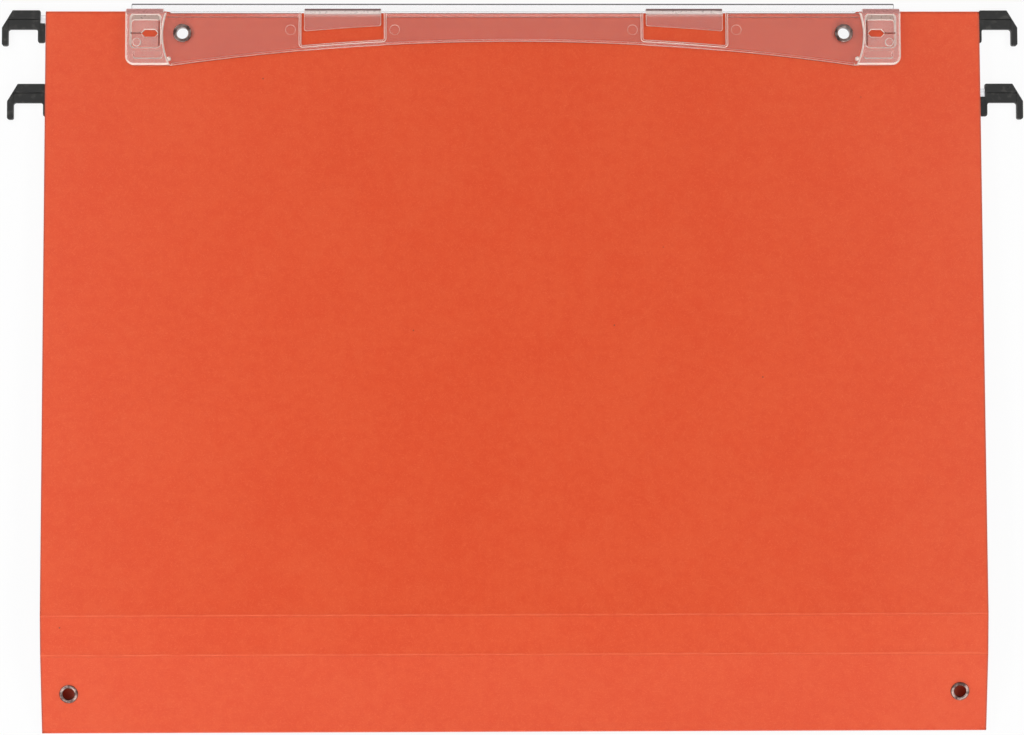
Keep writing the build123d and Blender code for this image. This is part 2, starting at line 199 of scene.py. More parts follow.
class Shader(Graph):
    """The node tree of a new material."""

    def __init__(self, name: str) -> None:
        """Makes an empty material with its output.

        Args:
            name: The material's name.
        """
        self.material = bpy.data.materials.new(name)
        self.material.use_nodes = True
        super().__init__(self.material.node_tree)
        self.tree.nodes.clear()
        self.output = self.tree.nodes.new("ShaderNodeOutputMaterial")

    def millimetres(self) -> Value:
        """Object coordinates in millimetres."""
        place = self.node("ShaderNodeTexCoord", output="Object")
        return self.vector("MULTIPLY", place, (MILLIMETRES,) * 3)

    def noise(self, place: Value, size: float, detail: float = 2.0, stretch: tuple = (1, 1, 1)) -> Value:
        """Noise with patches of a size, stretched along X, Y and Z."""
        scaled = self.vector("DIVIDE", place, tuple(size * each for each in stretch))
        return self.soft_noise(scaled, detail)

    def turned(self, place: Value, angle: float) -> Value:
        """Coordinates turned about Z by an angle in radians."""
        settings = {"rotation_type": "Z_AXIS"}
        return self.node("ShaderNodeVectorRotate", settings, {"Vector": place, "Angle": angle})

    def bumped(self, height: Value, depth: float, strength: float) -> Value:
        """A normal from a height, where a height of 1 stands for a depth in metres."""
        sockets = {"Height": height, "Distance": depth, "Strength": strength}
        return self.node("ShaderNodeBump", sockets=sockets, output="Normal")

    def surface(self, **sockets: object) -> Value:
        """A Principled shader whose inputs are named with _ for spaces."""
        named = {name.replace("_", " "): value for name, value in sockets.items()}
        return self.node("ShaderNodeBsdfPrincipled", sockets=named)

    def mixed(self, share: Value, first: Value, second: Value) -> Value:
        """A mix of two shaders, with a share of the second one."""
        return self.node("ShaderNodeMixShader", sockets={0: share, 1: first, 2: second})

    def finish(self, shader: Value) -> bpy.types.Material:
        """Links a shader to the output and hands out the material."""
        self.tree.links.new(shader.socket, self.output.inputs["Surface"])
        return self.material


class Slot(Enum):
    """Material slots of the record."""

    CARD = "card"
    ROD_STEEL = "rod_steel"
    HOOK_PLASTIC = "hook_plastic"
    CLEAR_PLASTIC = "clear_plastic"
    EYELET_METAL = "eyelet_metal"


@dataclass(frozen=True)
class KraftCard:
    """Matt coloured kraft card with mottled pulp, light fibres, a few dark specks and painted shade towards
    its left and right edges.

    Sizes in millimetres, depths in metres. A pair named roughness or strength is a least value and what is
    added to it, and one named range is where a noise starts to show and where it shows in full.
    """

    half_width: float
    colour: tuple = (0.72, 0.07, 0.008, 1.0)
    deep_colour: tuple = (0.685, 0.052, 0.001, 1.0)
    cloud_size: float = 26.0
    flock_size: float = 3.2
    tooth_size: float = 0.55
    mottle_shares: tuple = (0.35, 0.45, 0.2)
    mottle_range: tuple = (0.35, 0.65)
    fibre_colour: tuple = (0.8, 0.138, 0.047, 1.0)
    fibre_width: float = 0.2
    fibre_stretch: float = 6.0
    fibre_turns: tuple = (0.15, 1.1, 2.2)
    fibre_range: tuple = (0.62, 0.72)
    fibre_share: float = 0.36
    speck_colour: tuple = (0.16, 0.035, 0.02, 1.0)
    speck_spread: float = 17.0
    speck_radius: float = 0.34
    speck_core_share: float = 0.5
    rarity_range: tuple = (0.95, 0.96)
    # Painted shade: the card darkens towards its left and right edges.
    edge_shade_colour: tuple = (0.24, 0.055, 0.03, 1.0)
    edge_shade_width: float = 0.8
    edge_shade_share: float = 0.6
    # Painted shade: the darker line below a crease's lighter line.
    crease_shade_colour: tuple = (0.56, 0.052, 0.01, 1.0)
    unevenness_size: float = 5.0
    unevenness_stretch: tuple = (1.0, 0.1, 0.1)
    unevenness_range: tuple = (0.35, 0.6)
    # Painted highlight: the lighter, broken line along a crease.
    line_width: float = 0.6
    line_strength: tuple = (0.08, 0.4)
    shade_drop: float = 1.0
    shade_width: float = 0.3
    shade_strength: tuple = (0.1, 0.3)
    relief_shares: tuple = (0.6, 0.4)
    relief_depth: float = 0.00004
    relief_strength: float = 0.5
    roughness: tuple = (0.44, 0.12)
    specular: float = 0.54

    def material(self, scored: bool) -> bpy.types.Material:
        """Builds the material.

        Args:
            scored: Whether it also shows the painted highlight and painted shade along a pressed crease.

        Returns:
            The material.
        """
        shader = Shader("scored_card" if scored else "kraft_card")
        place = shader.millimetres()
        cloud = shader.noise(place, self.cloud_size, detail=4.0)
        flock = shader.noise(place, self.flock_size)
        tooth = shader.noise(place, self.tooth_size, detail=4.0)
        fibres = self._fibres(shader, place)
        specks = self._specks(shader, place)
        broad, middle, fine = self.mottle_shares
        mottle = (broad * cloud + middle * flock + fine * tooth).step(*self.mottle_range)
        # Painted shade towards the left and right edges.
        edge = abs(shader.parts(place)[0]).step(self.half_width - self.edge_shade_width, self.half_width)
        colour = shader.blend(mottle, self.deep_colour, self.colour)
        colour = shader.blend(fibres * self.fibre_share, colour, self.fibre_colour)
        colour = shader.blend(specks, colour, self.speck_colour)
        colour = shader.blend(edge * self.edge_shade_share, colour, self.edge_shade_colour)
        if scored:
            # Painted highlight and painted shade along the crease.
            line, shade = self._score_line(shader, place)
            colour = shader.blend(line, colour, self.fibre_colour)
            colour = shader.blend(shade, colour, self.crease_shade_colour)
        height = self.relief_shares[0] * tooth + self.relief_shares[1] * fibres
        principled = shader.surface(
            Base_Color=colour,
            Roughness=tooth.ranged(*self.roughness),
            Normal=shader.bumped(height, self.relief_depth, self.relief_strength),
            Specular_IOR_Level=self.specular,
        )
        return shader.finish(principled)

    def _fibres(self, shader: Shader, place: Value) -> Value:
        """Short light fibres that lie in a few directions.

        Args:
            shader: The tree to add to.
            place: Coordinates in millimetres.

        Returns:
            1 on a fibre and 0 off it.
        """
        fibres = None
        stretch = (self.fibre_stretch, 1.0, 1.0)
        for turn in self.fibre_turns:
            laid = shader.turned(place, turn)
            strand = shader.noise(laid, self.fibre_width, detail=1.0, stretch=stretch)
            each = strand.step(*self.fibre_range)
            fibres = each if fibres is None else fibres.most(each)
        return fibres

    def _specks(self, shader: Shader, place: Value) -> Value:
        """Sparse dark specks of pulp.

        Args:
            shader: The tree to add to.
            place: Coordinates in millimetres.

        Returns:
            1 on a speck and 0 off it.
        """
        sockets = {"Vector": place, "Scale": 1 / self.speck_spread}
        cells = shader.node("ShaderNodeTexVoronoi", {"voronoi_dimensions": "2D"}, sockets)
        chance = shader.node("ShaderNodeSeparateColor", sockets={"Color": cells.sibling("Color")})
        radius = self.speck_radius / self.speck_spread
        dot = 1 - cells.step(self.speck_core_share * radius, radius)
        return dot * chance.step(*self.rarity_range) * chance.sibling("Green")

    def _score_line(self, shader: Shader, place: Value) -> tuple[Value, Value]:
        """A painted highlight along a pressed crease, broken in places, and painted shade in a darker line
        below it.

        Args:
            shader: The tree to add to.
            place: Coordinates in millimetres.

        Returns:
            How strongly each of them shows.
        """
        across = shader.node("ShaderNodeAttribute", {"attribute_name": SCORE}, output="Fac")
        unevenness = shader.noise(place, self.unevenness_size, detail=3.0, stretch=self.unevenness_stretch)
        unevenness = unevenness.step(*self.unevenness_range)
        line = across.bell(self.line_width) * unevenness.ranged(*self.line_strength)
        shade = (across + self.shade_drop).bell(self.shade_width) * unevenness.ranged(*self.shade_strength)
        return line, shade


@dataclass(frozen=True)
class ClearPlastic:
    """Clear moulded plastic with faint flow marks, which can carry a painted whitish highlight that fades
    away from an edge.

    Sizes in millimetres, depths in metres.
    """

    name: str
    colour: tuple = (0.97, 0.965, 0.96, 1.0)
    gloss: float = 0.05
    clearness: float = 1.0
    shadow_colour: tuple = (0.9, 0.89, 0.885, 1.0)
    refraction: float = 1.49
    flow_size: float = 9.0
    flow_stretch: tuple = (3.0, 1.0, 1.0)
    flow_depth: float = 0.00002
    flow_strength: float = 0.25
    mark_size: float = 0.8
    mark_gloss: float = 0.06
    # Painted highlight: the surface turns whiter towards an edge, standing in for light caught by a curl
    # there.
    highlight_share: float = 0.0
    highlight_place: float = 0.0
    highlight_reach: tuple = (-2.75, 0.17)
    highlight_colour: tuple = (0.85, 0.72, 0.68, 1.0)
    highlight_gloss: float = 0.25
    highlight_clearness: float = 0.25

    def material(self) -> bpy.types.Material:
        """Builds the material, which lets light pass to what is under it.

        Returns:
            The material.
        """
        shader = Shader(self.name)
        place = shader.millimetres()
        flow = shader.noise(place, self.flow_size, stretch=self.flow_stretch)
        marks = shader.noise(place, self.mark_size, detail=3.0)
        shown = shader.surface(
            Base_Color=self.colour,
            Roughness=marks.ranged(self.gloss, self.mark_gloss),
            Normal=shader.bumped(flow, self.flow_depth, self.flow_strength),
            IOR=self.refraction,
            Transmission_Weight=self.clearness,
        )
        # Painted highlight, whiter towards the edge.
        if self.highlight_share:
            painted_highlight = shader.surface(
                Base_Color=self.highlight_colour,
                Roughness=self.highlight_gloss,
                IOR=self.refraction,
                Transmission_Weight=self.highlight_clearness,
            )
            share = (shader.parts(place)[1] - self.highlight_place).step(*self.highlight_reach)
            shown = shader.mixed(share * self.highlight_share, shown, painted_highlight)
        through = shader.node("ShaderNodeBsdfTransparent", sockets={"Color": self.shadow_colour})
        for ray in ("Is Shadow Ray", "Is Diffuse Ray"):
            shown = shader.mixed(shader.node("ShaderNodeLightPath", output=ray), shown, through)
        return shader.finish(shown)


@dataclass(frozen=True)
class HookPlastic:
    """Black satin plastic with a fine moulded grain and pale scuffs.

    Sizes in millimetres, depths in metres.
    """

    name: str
    colour: tuple = (0.006, 0.006, 0.0055, 1.0)
    scuff_colour: tuple = (0.055, 0.053, 0.048, 1.0)
    scuff_size: float = 2.2
    scuff_range: tuple = (0.52, 0.72)
    scuff_share: float = 0.6
    scuff_roughness: float = 0.1
    grain_size: float = 0.25
    grain_depth: float = 0.00003
    grain_strength: float = 0.3
    roughness: tuple = (0.36, 0.14)
    specular: float = 0.3

    def material(self) -> bpy.types.Material:
        """Builds the material.

        Returns:
            The material.
        """
        shader = Shader(self.name)
        place = shader.millimetres()
        grain = shader.noise(place, self.grain_size)
        scuffs = shader.noise(place, self.scuff_size, detail=5.0).step(*self.scuff_range)
        principled = shader.surface(
            Base_Color=shader.blend(scuffs * self.scuff_share, self.colour, self.scuff_colour),
            Roughness=grain.ranged(*self.roughness) + self.scuff_roughness * scuffs,
            Normal=shader.bumped(grain, self.grain_depth, self.grain_strength),
            Specular_IOR_Level=self.specular,
        )
        return shader.finish(principled)


@dataclass(frozen=True)
class DrawnSteel:
    """Bright steel strip with fine lines along its length. Sizes in millimetres, depths in metres."""

    colour: tuple = (0.74, 0.74, 0.75, 1.0)
    line_colour: tuple = (0.56, 0.56, 0.58, 1.0)
    line_width: float = 0.12
    line_stretch: tuple = (90.0, 1.0, 1.0)
    line_range: tuple = (0.35, 0.7)
    line_depth: float = 0.00001
    line_strength: float = 0.3
    roughness: tuple = (0.24, 0.16)

    def material(self) -> bpy.types.Material:
        """Builds the material.

        Returns:
            The material.
        """
        shader = Shader("drawn_steel")
        lines = shader.noise(shader.millimetres(), self.line_width, detail=3.0, stretch=self.line_stretch)
        principled = shader.surface(
            Base_Color=shader.blend(lines.step(*self.line_range), self.line_colour, self.colour),
            Roughness=lines.ranged(*self.roughness),
            Metallic=1.0,
            Normal=shader.bumped(lines, self.line_depth, self.line_strength),
        )
        return shader.finish(principled)


@dataclass(frozen=True)
class DarkNickel:
    """Nickel plate that has dulled in patches, tinted warm brown as a painted reflection of the orange card
    round it. Sizes in millimetres.
    """

    # Warm brown tint of both colours: a painted reflection of the orange card.
    colour: tuple = (0.27, 0.19, 0.17, 1.0)
    dull_colour: tuple = (0.06, 0.034, 0.03, 1.0)
    patch_size: float = 1.6
    patch_range: tuple = (0.38, 0.66)
    grain_size: float = 0.2
    grain_roughness: float = 0.05
    roughness: tuple = (0.12, 0.12)

    def material(self) -> bpy.types.Material:
        """Builds the material.

        Returns:
            The material.
        """
        shader = Shader("dark_nickel")
        place = shader.millimetres()
        patches = shader.noise(place, self.patch_size, detail=4.0).step(*self.patch_range)
        grain = shader.noise(place, self.grain_size)
        principled = shader.surface(
            Base_Color=shader.blend(patches, self.colour, self.dull_colour),
            Roughness=patches.ranged(*self.roughness) + self.grain_roughness * grain,
            Metallic=1.0,
        )
        return shader.finish(principled)


class GeometryTree(Graph):
    """A Geometry Nodes tree with named inputs that makes one mesh."""

    counts = ("columns", "rows", "turns")
    merge_distance = 1e-7

    def __init__(self, name: str, inputs: tuple[str, ...], takes_mesh: bool = False) -> None:
        """Makes the tree.

        Args:
            name: The tree's name.
            inputs: Names of its inputs, which are lengths and shares apart from the counts.
            takes_mesh: Whether it starts from a piece's mesh, as the input start.
        """
        super().__init__(bpy.data.node_groups.new(name, "GeometryNodeTree"))
        sockets = self.tree.interface
        sockets.new_socket("mesh", in_out="OUTPUT", socket_type="NodeSocketGeometry")
        if takes_mesh:
            sockets.new_socket("start", in_out="INPUT", socket_type="NodeSocketGeometry")
        self.identifiers = {}
        for each in inputs:
            kind = "NodeSocketInt" if each in self.counts else "NodeSocketFloat"
            self.identifiers[each] = sockets.new_socket(each, in_out="INPUT", socket_type=kind).identifier
        self.group_input = self.tree.nodes.new("NodeGroupInput")

    def __getitem__(self, name: str) -> Value:
        """One of the named inputs."""
        return Value(self, self.group_input.outputs[name])

    def place(self) -> tuple[Value, Value, Value]:
        """X, Y and Z of each point."""
        return self.parts(self.node("GeometryNodeInputPosition"))

    def sheet(self, length: Value | float, position: Value) -> Value:
        """A grid across the width, with its points moved.

        Args:
            length: The grid's length.
            position: Where each point goes.

        Returns:
            The sheet.
        """
        sockets = {"Size X": self["width"], "Size Y": length}
        sockets |= {"Vertices X": self["columns"], "Vertices Y": self["rows"]}
        grid = self.node("GeometryNodeMeshGrid", sockets=sockets)
        return self.node("GeometryNodeSetPosition", sockets={"Geometry": grid, "Position": position})

    def thick(self, sheet: Value, offset: Value | None = None) -> Value:
        """A sheet given its thickness.

        Args:
            sheet: The inner face, which points to the outer one.
            offset: Where the outer face goes, or its own normal.

        Returns:
            A closed solid.
        """
        sockets = {"Mesh": sheet, "Offset Scale": self["thickness"], "Individual": False}
        if offset is not None:
            sockets["Offset"] = offset
        raised = self.node("GeometryNodeExtrudeMesh", sockets=sockets)
        under = self.node("GeometryNodeFlipFaces", sockets={"Mesh": sheet})
        both = self.node("GeometryNodeJoinGeometry", sockets={"Geometry": [raised, under]})
        sockets = {"Geometry": both, "Distance": self.merge_distance}
        return self.node("GeometryNodeMergeByDistance", sockets=sockets)

    def close(self, mesh: Value, material: bpy.types.Material) -> None:
        """Ends the tree in one realized mesh with its material.

        Args:
            mesh: What the tree has made.
            material: Its finish.
        """
        real = self.node("GeometryNodeRealizeInstances", sockets={"Geometry": mesh})
        done = self.node("GeometryNodeSetMaterial", sockets={"Geometry": real, "Material": material})
        output = self.tree.nodes.new("NodeGroupOutput")
        self.tree.links.new(done.socket, output.inputs["mesh"])

    def piece(
        self,
        name: str,
        placed: Matrix,
        start: bpy.types.Mesh | None = None,
        **sizes: float | int,
    ) -> bpy.types.Object:
        """Makes a piece with the tree.

        Args:
            name: The piece's name.
            placed: Where its mesh goes.
            start: The mesh that the tree starts from, where it takes one.
            sizes: Inputs of the tree.

        Returns:
            The piece, a plain mesh at the origin.
        """
        piece = new_object(name, start or bpy.data.meshes.new(name))
        modifier = piece.modifiers.new("shape", "NODES")
        modifier.node_group = self.tree
        for each, value in sizes.items():
            modifier[self.identifiers[each]] = value
        mesh = evaluated_mesh(piece)
        piece.modifiers.clear()
        piece.data = mesh
        mesh.name = name
        mesh.transform(placed)
        return piece


def new_object(name: str, data: bpy.types.ID) -> bpy.types.Object:
    """Puts an object in the scene.

    Args:
        name: Its name.
        data: What it holds.

    Returns:
        The object.
    """
    made = bpy.data.objects.new(name, data)
    bpy.context.scene.collection.objects.link(made)
    return made


def evaluated_mesh(piece: bpy.types.Object) -> bpy.types.Mesh:
    """A plain mesh of a piece with its modifiers applied."""
    depsgraph = bpy.context.evaluated_depsgraph_get()
    return bpy.data.meshes.new_from_object(piece.evaluated_get(depsgraph))


def placed_frame(origin: Vector, run: Vector) -> Matrix:
    """A frame at a place: X right, Y along a direction of the YZ plane, Z out."""
    return Matrix.Translation(origin) @ Matrix.Rotation(atan2(run.z, run.y), 4, "X")


def joint_place(name: str) -> Vector:
    """A point on a joint's axis."""
    return Vector(next(joint["pos_m"] for joint in frame["joints"] if joint["name"] == name))


@dataclass(frozen=True)
class FlatPlace:
    """Where a flat of the card lies: its outer face runs from start to end in the YZ plane."""

    start: Vector
    end: Vector
    width: float
    thickness: float

    @classmethod
    def of(cls, node: str, end_share: float = 0.05) -> "FlatPlace":
        """Reads a flat from its solid.

        Args:
            node: The solid's name.
            end_share: How much of its length counts as an end.

        Returns:
            Its place.
        """
        points = [vertex.co for vertex in frame["nodes"][node].data.vertices]
        low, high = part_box(node)
        reach = (high.y - low.y) * end_share
        first, last = (
            max((point for point in points if abs(point.y - y) < reach), key=lambda point: point.z)
            for y in (low.y, high.y)
        )
        run = (last - first).yz.normalized()
        out = Vector((0.0, -run.y, run.x))
        heights = [point.dot(out) for point in points]
        along = [point.yz.dot(run) for point in points]
        face = max(heights)
        start, end = (Vector((0.0, *(run * each))) + out * face for each in (min(along), max(along)))
        return cls(start, end, high.x - low.x, face - min(heights))

    @property
    def run(self) -> Vector:
        """Direction from start to end."""
        return (self.end - self.start).normalized()

    @property
    def length(self) -> float:
        """Distance from start to end."""
        return (self.end - self.start).length

    def matrix(self) -> Matrix:
        """Frame at the start: X right, Y along the flat, Z out of it."""
        return placed_frame(self.start, self.run)

    def meeting_point(self, after: "FlatPlace") -> Vector:
        """Where the outer faces of this flat and its neighbour would meet.

        Args:
            after: The next flat.

        Returns:
            The point in the YZ plane.
        """
        gap = after.start - self.end
        turn = self.run.y * after.run.z - self.run.z * after.run.y
        along = (gap.y * after.run.z - gap.z * after.run.y) / turn
        return self.end + self.run * along


def edge_frame() -> Matrix:
    """Finds the front panel's top edge.

    Returns:
        A frame in millimetres on it: X right, Y up the panel, Z out of its outer face.
    """
    low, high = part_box("back_hem")
    radius = (high.z - low.z) / 2
    placed = placed_frame(joint_place("title_strip_tilt"), FlatPlace.of("front_panel").run)
    return placed @ Matrix.Translation((0.0, radius, radius)) @ Matrix.Scale(1 / MILLIMETRES, 4)


def dress(piece: bpy.types.Object, slot: Slot, *nodes: str) -> None:
    """Hides the solids that a piece stands for and logs its number of faces.

    Args:
        piece: The piece.
        slot: Not used.
        nodes: Names of the solids.
    """
    if nodes:
        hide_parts(*nodes)
    LOG.info("%s: %d faces", piece.name, len(piece.data.polygons))


def mount(piece: bpy.types.Object, body: str, slot: Slot, node: str) -> None:
    """Lets a piece ride on a body and stand for a solid."""
    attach(piece, body)
    dress(piece, slot, node)


def finish_node(node: str, material: bpy.types.Material, slot: Slot) -> None:
    """Gives a solid of the model its finish.

    Args:
        node: The solid.
        material: Its finish.
        slot: The slot that it takes it from.
    """
    solid = frame["nodes"][node]
    solid.data.materials.clear()
    solid.data.materials.append(material)
    dress(solid, slot)


FLAT_BODIES = {
    "back_panel": "back",
    "base_panel": "base",
    "front_expansion_strip": "front_strip",
    "front_panel": "front",
}


@dataclass
class CardSheet:
    """The creased card: four flats, two scored creases, the bottom fold, and a hem round each rod.

    Sizes in metres.
    """

    settle: float = 0.00003
    cell: float = 0.004
    least_cells: int = 2
    fineness: int = 4
    crease_rows: int = 17
    fold_rows: int = 25
    seed: float = 3.0
    wave_height: float = 0.0004
    wave_size: float = 0.09
    quiet_length: float = 0.03
    emboss_drop: float = 0.0046
    emboss_width: float = 0.0004
    emboss_height: float = 0.00006
    hole_radius: float = 0.00235
    drill_sides: int = 40
    drill_share: float = 8.0
    groove_width: float = 0.00016
    groove_depth: float = 0.00005
    bead_height: float = 0.00006
    bead_shift_share: float = 1.7
    bead_patches: tuple = (60.0, 300.0)
    bead_range: tuple = (0.25, 0.65)
    line_shift_share: float = 1.2
    press_share: float = 0.8
    press_half: float = 0.1172
    press_fade: float = 0.0012

    def __post_init__(self) -> None:
        """Makes the finishes and the trees."""
        self.flats = {node: FlatPlace.of(node) for node in FLAT_BODIES}
        kraft = KraftCard(self.flats["front_panel"].width / 2 * MILLIMETRES)
        self.card = kraft.material(scored=False)
        self.scored = kraft.material(scored=True)
        self.flat_trees = {pierced: self._flat_tree(pierced) for pierced in (False, True)}
        self.crease_tree = self._crease_tree()
        self.fold_tree = self._fold_tree()

    def build(self) -> None:
        """Builds every stretch of the sheet."""
        self._flat("back_panel")
        self._flat("base_panel", "base_eyelet_left", "base_eyelet_right")
        self._flat("front_expansion_strip")
        self._flat("front_panel", "title_eyelet_left", "title_eyelet_right")
        self._crease("lower_crease", "base_panel", "front_expansion_strip")
        self._crease("upper_crease", "front_expansion_strip", "front_panel")
        self._bottom_fold()
        for side in ("front", "back"):
            self._hem(side)
            for node in (f"{side}_hem_wall", f"{side}_hem_flap"):
                finish_node(node, self.card, Slot.CARD)

    def _named(self, *names: str) -> dict[str, float]:
        """Sizes of the sheet by their names, as inputs of a tree."""
        return {name: getattr(self, name) for name in names}

    def _across(self, width: float, thickness: float, fineness: int = 1) -> dict[str, float | int]:
        """Inputs that every stretch of the sheet has.

        Args:
            width: Its width.
            thickness: Its thickness with the room that it keeps.
            fineness: How many columns a cell has.

        Returns:
            The inputs of a tree.
        """
        columns = round(width / self.cell) * fineness + 1
        return {"width": width, "thickness": thickness - self.settle, "columns": columns}

    def _flat_tree(self, pierced: bool) -> GeometryTree:
        """Tree of a flat: a sheet with faint waves, the mark of a rod's edge, and two holes if pierced.

        Args:
            pierced: Whether it has holes.

        Returns:
            The tree.
        """
        inputs = ("width", "length", "thickness", "columns", "rows", "settle", "seed")
        inputs += ("wave_height", "wave_size", "quiet_length")
        inputs += ("emboss_place", "emboss_width", "emboss_height")
        holes = ("hole_radius", "hole_place", "hole_spacing") if pierced else ()
        tree = GeometryTree("pierced_flat" if pierced else "flat", inputs + holes)
        x, y, _ = tree.place()
        length, quiet = tree["length"], tree["quiet_length"]
        along = y + length / 2
        share = along / length
        calm = (length - along).step(quiet, quiet * 2)
        patch = tree.joined(tree["wave_size"], tree["wave_size"], 1.0)
        place = tree.vector("DIVIDE", tree.joined(x, along, tree["seed"]), patch)
        wave = tree.soft_noise(place, detail=1.0)
        rise = tree["wave_height"] * (wave - 0.5) * 4 * share * (1 - share) * calm
        mark = (along - tree["emboss_place"]).bell(tree["emboss_width"])
        rise = rise + mark * tree["emboss_height"] - tree["settle"]
        sheet = tree.sheet(length, tree.joined(x, along, rise - tree["thickness"]))
        solid = tree.thick(sheet, tree.joined(0.0, 0.0, 1.0))
        tree.close(self._pierced(tree, solid) if pierced else solid, self.card)
        return tree

    def _pierced(self, tree: GeometryTree, solid: Value) -> Value:
        """Cuts the two eyelet holes.

        Args:
            tree: The tree to add to.
            solid: The flat.

        Returns:
            The flat with its holes.
        """
        sockets = {"Vertices": self.drill_sides, "Radius": tree["hole_radius"]}
        sockets["Depth"] = tree["thickness"] * self.drill_share
        drill = tree.node("GeometryNodeMeshCylinder", sockets=sockets)
        cutters = []
        for side in (-0.5, 0.5):
            place = tree.joined(tree["hole_spacing"] * side, tree["hole_place"], 0.0)
            sockets = {"Geometry": drill, "Translation": place}
            cutters.append(tree.node("GeometryNodeTransform", sockets=sockets))
        settings = {"operation": "DIFFERENCE", "solver": "EXACT"}
        return tree.node("GeometryNodeMeshBoolean", settings, {"Mesh 1": solid, "Mesh 2": cutters})

    def _flat(self, node: str, *eyelets: str) -> None:
        """Builds a flat.

        Args:
            node: The solid that it stands for.
            eyelets: The eyelets that go through it.
        """
        flat = self.flats[node]
        on_top = node == "front_panel"
        cells = max(round(flat.length / self.cell), self.least_cells)
        sizes = self._across(flat.width, flat.thickness) | self._named("settle", "seed")
        sizes |= {"length": flat.length, "rows": cells * (self.fineness if on_top else 1) + 1}
        if on_top:
            sizes |= self._named("wave_height", "wave_size", "quiet_length", "emboss_width", "emboss_height")
            sizes["emboss_place"] = flat.length - self.emboss_drop
        if eyelets:
            left, right = (sum(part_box(each), Vector()) / 2 for each in eyelets)
            sizes |= {"hole_radius": self.hole_radius, "hole_spacing": right.x - left.x}
            sizes["hole_place"] = (left - flat.start).yz.dot(flat.run.yz)
        piece = self.flat_trees[bool(eyelets)].piece(f"{node}_sheet", flat.matrix(), **sizes)
        mount(piece, FLAT_BODIES[node], Slot.CARD, node)

    def _crease_tree(self) -> GeometryTree:
        """Tree of a scored crease: a bent band with a groove pressed along its middle and a bead beside it.

        Returns:
            The tree.
        """
        inputs = ("width", "half_band", "thickness", "columns", "rows", "bend", "settle")
        inputs += ("groove_width", "groove_depth", "bead_height", "seed")
        tree = GeometryTree("scored_crease", inputs)
        x, y, _ = tree.place()
        half, width = tree["half_band"], tree["groove_width"]
        slope = tree.math("TANGENT", tree["bend"] / 2)
        crown = -(slope * half / 2) - slope * y * y / (half * 2)
        along, across = self.bead_patches
        uneven = tree.soft_noise(tree.joined(x * along, y * across, tree["seed"]), detail=2.0)
        groove = y.bell(width) * tree["groove_depth"]
        bead = (y - width * self.bead_shift_share).bell(width) * tree["bead_height"]
        bead = bead * uneven.step(*self.bead_range)
        rise = crown + bead - groove - tree["settle"] - tree["thickness"]
        sheet = tree.sheet(half * 2, tree.joined(x, y, rise))
        score = (tree.place()[1] - width * self.line_shift_share) / half
        settings = {"data_type": "FLOAT", "domain": "POINT"}
        sockets = {"Geometry": sheet, "Name": SCORE, "Value": score}
        marked = tree.node("GeometryNodeStoreNamedAttribute", settings, sockets)
        tree.close(tree.thick(marked, tree.joined(0.0, 0.0, 1.0)), self.scored)
        return tree

    def _crease(self, node: str, before: str, after: str) -> None:
        """Builds a crease that bends between two flats.

        Args:
            node: The solid that it stands for.
            before: The flat below it.
            after: The flat above it.
        """
        lower, upper = self.flats[before], self.flats[after]
        point = lower.meeting_point(upper)
        run = (lower.run + upper.run).normalized()
        bend = atan2(lower.run.z, lower.run.y) - atan2(upper.run.z, upper.run.y)
        half = (point - lower.end).length * cos(bend / 2)
        sizes = self._across(lower.width, lower.thickness, self.fineness)
        sizes |= self._named("settle", "groove_width", "groove_depth", "bead_height")
        sizes |= {"half_band": half, "rows": self.crease_rows, "bend": bend}
        sizes["seed"] = self.seed + point.y * MILLIMETRES
        piece = self.crease_tree.piece(f"{node}_band", placed_frame(point, run), **sizes)
        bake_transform(piece)
        dress(piece, Slot.CARD, node)

    def _fold_tree(self) -> GeometryTree:
        """Tree of a fold: a band bent round a centre, pressed flatter along its middle.

        Returns:
            The tree.
        """
        inputs = ("width", "radius", "thickness", "columns", "rows", "last_turn", "sweep")
        tree = GeometryTree("round_fold", inputs + ("press_share", "press_half", "press_fade"))
        x, y, _ = tree.place()
        turn = tree["last_turn"] - (y + 0.5) * tree["sweep"]
        inner = tree["radius"] - tree["thickness"]
        edge = tree["press_half"]
        pressed = tree["press_share"] * (1 - abs(x).step(edge, edge + tree["press_fade"]))
        reach = tree.math("COSINE", turn) * inner * (1 - pressed)
        sheet = tree.sheet(1.0, tree.joined(x, reach, tree.math("SINE", turn) * inner))
        smooth = tree.node("GeometryNodeSetShadeSmooth", sockets={0: tree.thick(sheet)})
        tree.close(smooth, self.card)
        return tree

    def _fold(
        self, node: str, placed: Matrix, first: float, last: float, press_share: float
    ) -> bpy.types.Object:
        """Builds a round fold.

        Args:
            node: The solid that it stands for.
            placed: Frame at the middle of its arc.
            first: Where the arc starts, in radians from the frame's Y towards its Z.
            last: Where it ends.
            press_share: How much flatter it is along its middle.

        Returns:
            The piece.
        """
        low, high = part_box(node)
        radius = min(placed.translation.z - low.z, high.z - low.z)
        thickness = self.flats["back_panel"].thickness
        sizes = self._across(high.x - low.x, thickness, self.fineness if press_share else 1)
        sizes |= self._named("press_half", "press_fade")
        sizes |= {"radius": radius - self.settle, "rows": self.fold_rows, "press_share": press_share}
        sizes |= {"last_turn": last, "sweep": last - first}
        return self.fold_tree.piece(f"{node}_band", placed, **sizes)

    def _bottom_fold(self) -> None:
        """Builds the fold between the back panel and the base."""
        hinge = joint_place("bottom_fold_hinge")
        base = self.flats["base_panel"]
        rise = atan2(base.run.z, base.run.y)
        piece = self._fold("bottom_fold", Matrix.Translation(hinge), pi / 2 + rise, 3 * pi / 2, 0.0)
        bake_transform(piece)
        dress(piece, Slot.CARD, "bottom_fold")

